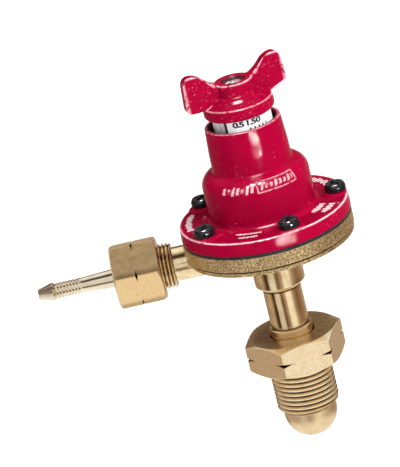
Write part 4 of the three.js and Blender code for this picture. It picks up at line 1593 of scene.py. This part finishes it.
# The brightness that reflections find. Ahead and behind go by degrees above the horizon, and the band
# below the horizon goes by degrees right of the camera.
AHEAD = [(-90, 1.05), (-8, 0.75), (46, 0.85), (58, 0.08), (86, 0.05), (90, 0.5)]
BEHIND = [(-90, 1.05), (-12, 1.2), (0, 0.5), (8, 0.18), (30, 0.18), (42, 0.9), (84, 1.0), (90, 0.5)]
BELOW = [
    (-180, 0.7), (-160, 0.5), (-144, 0.36), (-112, 0.45), (-94, 0.55), (-80, 0.3), (-70, 0.05), (-60, 0.05),
    (-52, 0.75), (-30, 0.8), (-20, 0.2), (-12, 0.18), (-2, 0.42), (6, 0.5), (12, 1.05), (38, 1.05),
    (52, 0.5), (70, 0.28), (84, 0.24), (112, 0.36), (144, 0.52), (180, 0.7),
]


def studio():
    """White to the camera, even to diffuse light, and banded to reflections, as a studio's panels are."""
    world = bpy.data.worlds.new("studio")
    bpy.context.scene.world = world
    world.use_nodes = True
    world.node_tree.nodes.clear()
    nodes = Nodes(world.node_tree)
    way = nodes.add("ShaderNodeTexCoord").outputs["Generated"]
    rightward, forward, upward = (nodes.toward(way, axis) for axis in (RIGHT, TOWARD, UP))
    turn = nodes.combined("ARCTAN2", rightward, forward)
    share = nodes.made("ShaderNodeMath", {0: turn, 1: 1 / TURN, 2: 0.5}, operation="MULTIPLY_ADD")
    low = studio_ramp(nodes, share, [(side / 360 + 0.5, level) for side, level in BELOW])
    lift = nodes.between(upward, -1, 1)
    front, back = studio_ramp(nodes, lift, rising(AHEAD)), studio_ramp(nodes, lift, rising(BEHIND))
    around = nodes.colours(forward, -0.25, 0.25, back, front)

    def stacked(start, end, under, over):
        """One colour below a height and another above it, with a blend between in degrees."""
        return nodes.colours(upward, math.sin(radians(start)), math.sin(radians(end)), under, over)

    shiny = stacked(-12, -8, stacked(-34, -30, front, low), around)
    rays = nodes.add("ShaderNodeLightPath").outputs
    lit = nodes.mixed(rays["Is Glossy Ray"], (0.75, 0.75, 0.75), shiny)
    seen = nodes.mixed(rays["Is Camera Ray"], lit, (1.05, 1.05, 1.05))
    background = nodes.made("ShaderNodeBackground", {"Color": seen}, "Background")
    nodes.feed(nodes.add("ShaderNodeOutputWorld").inputs["Surface"], background)


def lit_group(name, pieces):
    """The only pieces that a light shines off."""
    group = bpy.data.collections.new(name)
    for piece in pieces:
        group.objects.link(piece)
    return group


# ---- The object ----------------------------------------------------------------------------------

# Painted shade: near black within 12.3 mm of the axis in the bonnet's bore and 4.3 mm in the knob's recess;
# the last figures set how many glints are painted.
paint = red_paint("bonnet_paint", 12.3, 0.08)
knob_paint = red_paint("knob_paint", 4.3, 0.25)
edge_brass = body_brass(28.5, 2.4)
stem_brass = turned_brass("stem_brass", 2)
tail_brass = turned_brass("tail_brass", 0, (0.93, 0.82, 0.64))
inlet_hex_brass = nut_brass("inlet_hex_brass", 2, 0.2, (0.80, 0.60, 0.34), (1.0, 0.83, 0.56))
union_hex_brass = nut_brass("union_hex_brass", 0, 0.4, (0.90, 0.62, 0.29), (1.0, 0.78, 0.44))
black = black_steel()
plated = grey_metal("plated_steel", 0.55, 0.3)
zinc = grey_metal("barrel_zinc", 0.8, 0.4, 0.5)
spring_wire = grey_metal("spring_wire", 0.3, 0.3)
rubber = black_rubber()

inlet_stem(stem_brass)
inlet_filter(sintered_bronze())
stem_seal(fibre())
thrust_washer(plated)
inlet_nut(inlet_hex_brass)
body(edge_brass)
valve_seat(stem_brass)
valve_poppet(stem_brass, rubber)
springs(spring_wire)
diaphragm(rubber)
diaphragm_stack(plated, stem_brass)
red_cover = bonnet(paint)
flange_print(ink("white_ink", (0.85, 0.72, 0.74)))
black_heads = flange_screws(black)
red_knob = wing_knob(knob_paint)
grey_screw = knob_screw(grey_metal("knob_screw_zinc", 0.8, 0.3))
adjusting_barrel(zinc)
dial_label(label_film(), ink("black_ink", (0.012, 0.012, 0.014)))
spring_button(plated)
union_nut(union_hex_brass)
hose_tail(tail_brass)

camera()
studio()
floor()
glossy = lit_group("glossy", [red_cover, red_knob, grey_screw, *black_heads])
below_knob = lit_group("below_knob", [red_cover, *black_heads])
softbox("key", 43, 42, 1.3, 0.7, 0.7, 24)
softbox("fill", -60, 30, 1.6, 1.0, 1.0, 4)
softbox("window", 20, -11, 3.0, 1.3, 0.23, 1500, below_knob)
softbox("overhead", 0, 66, 0.7, 0.3, 0.14, 110, glossy)
bpy.context.scene.view_settings.view_transform = "Standard"
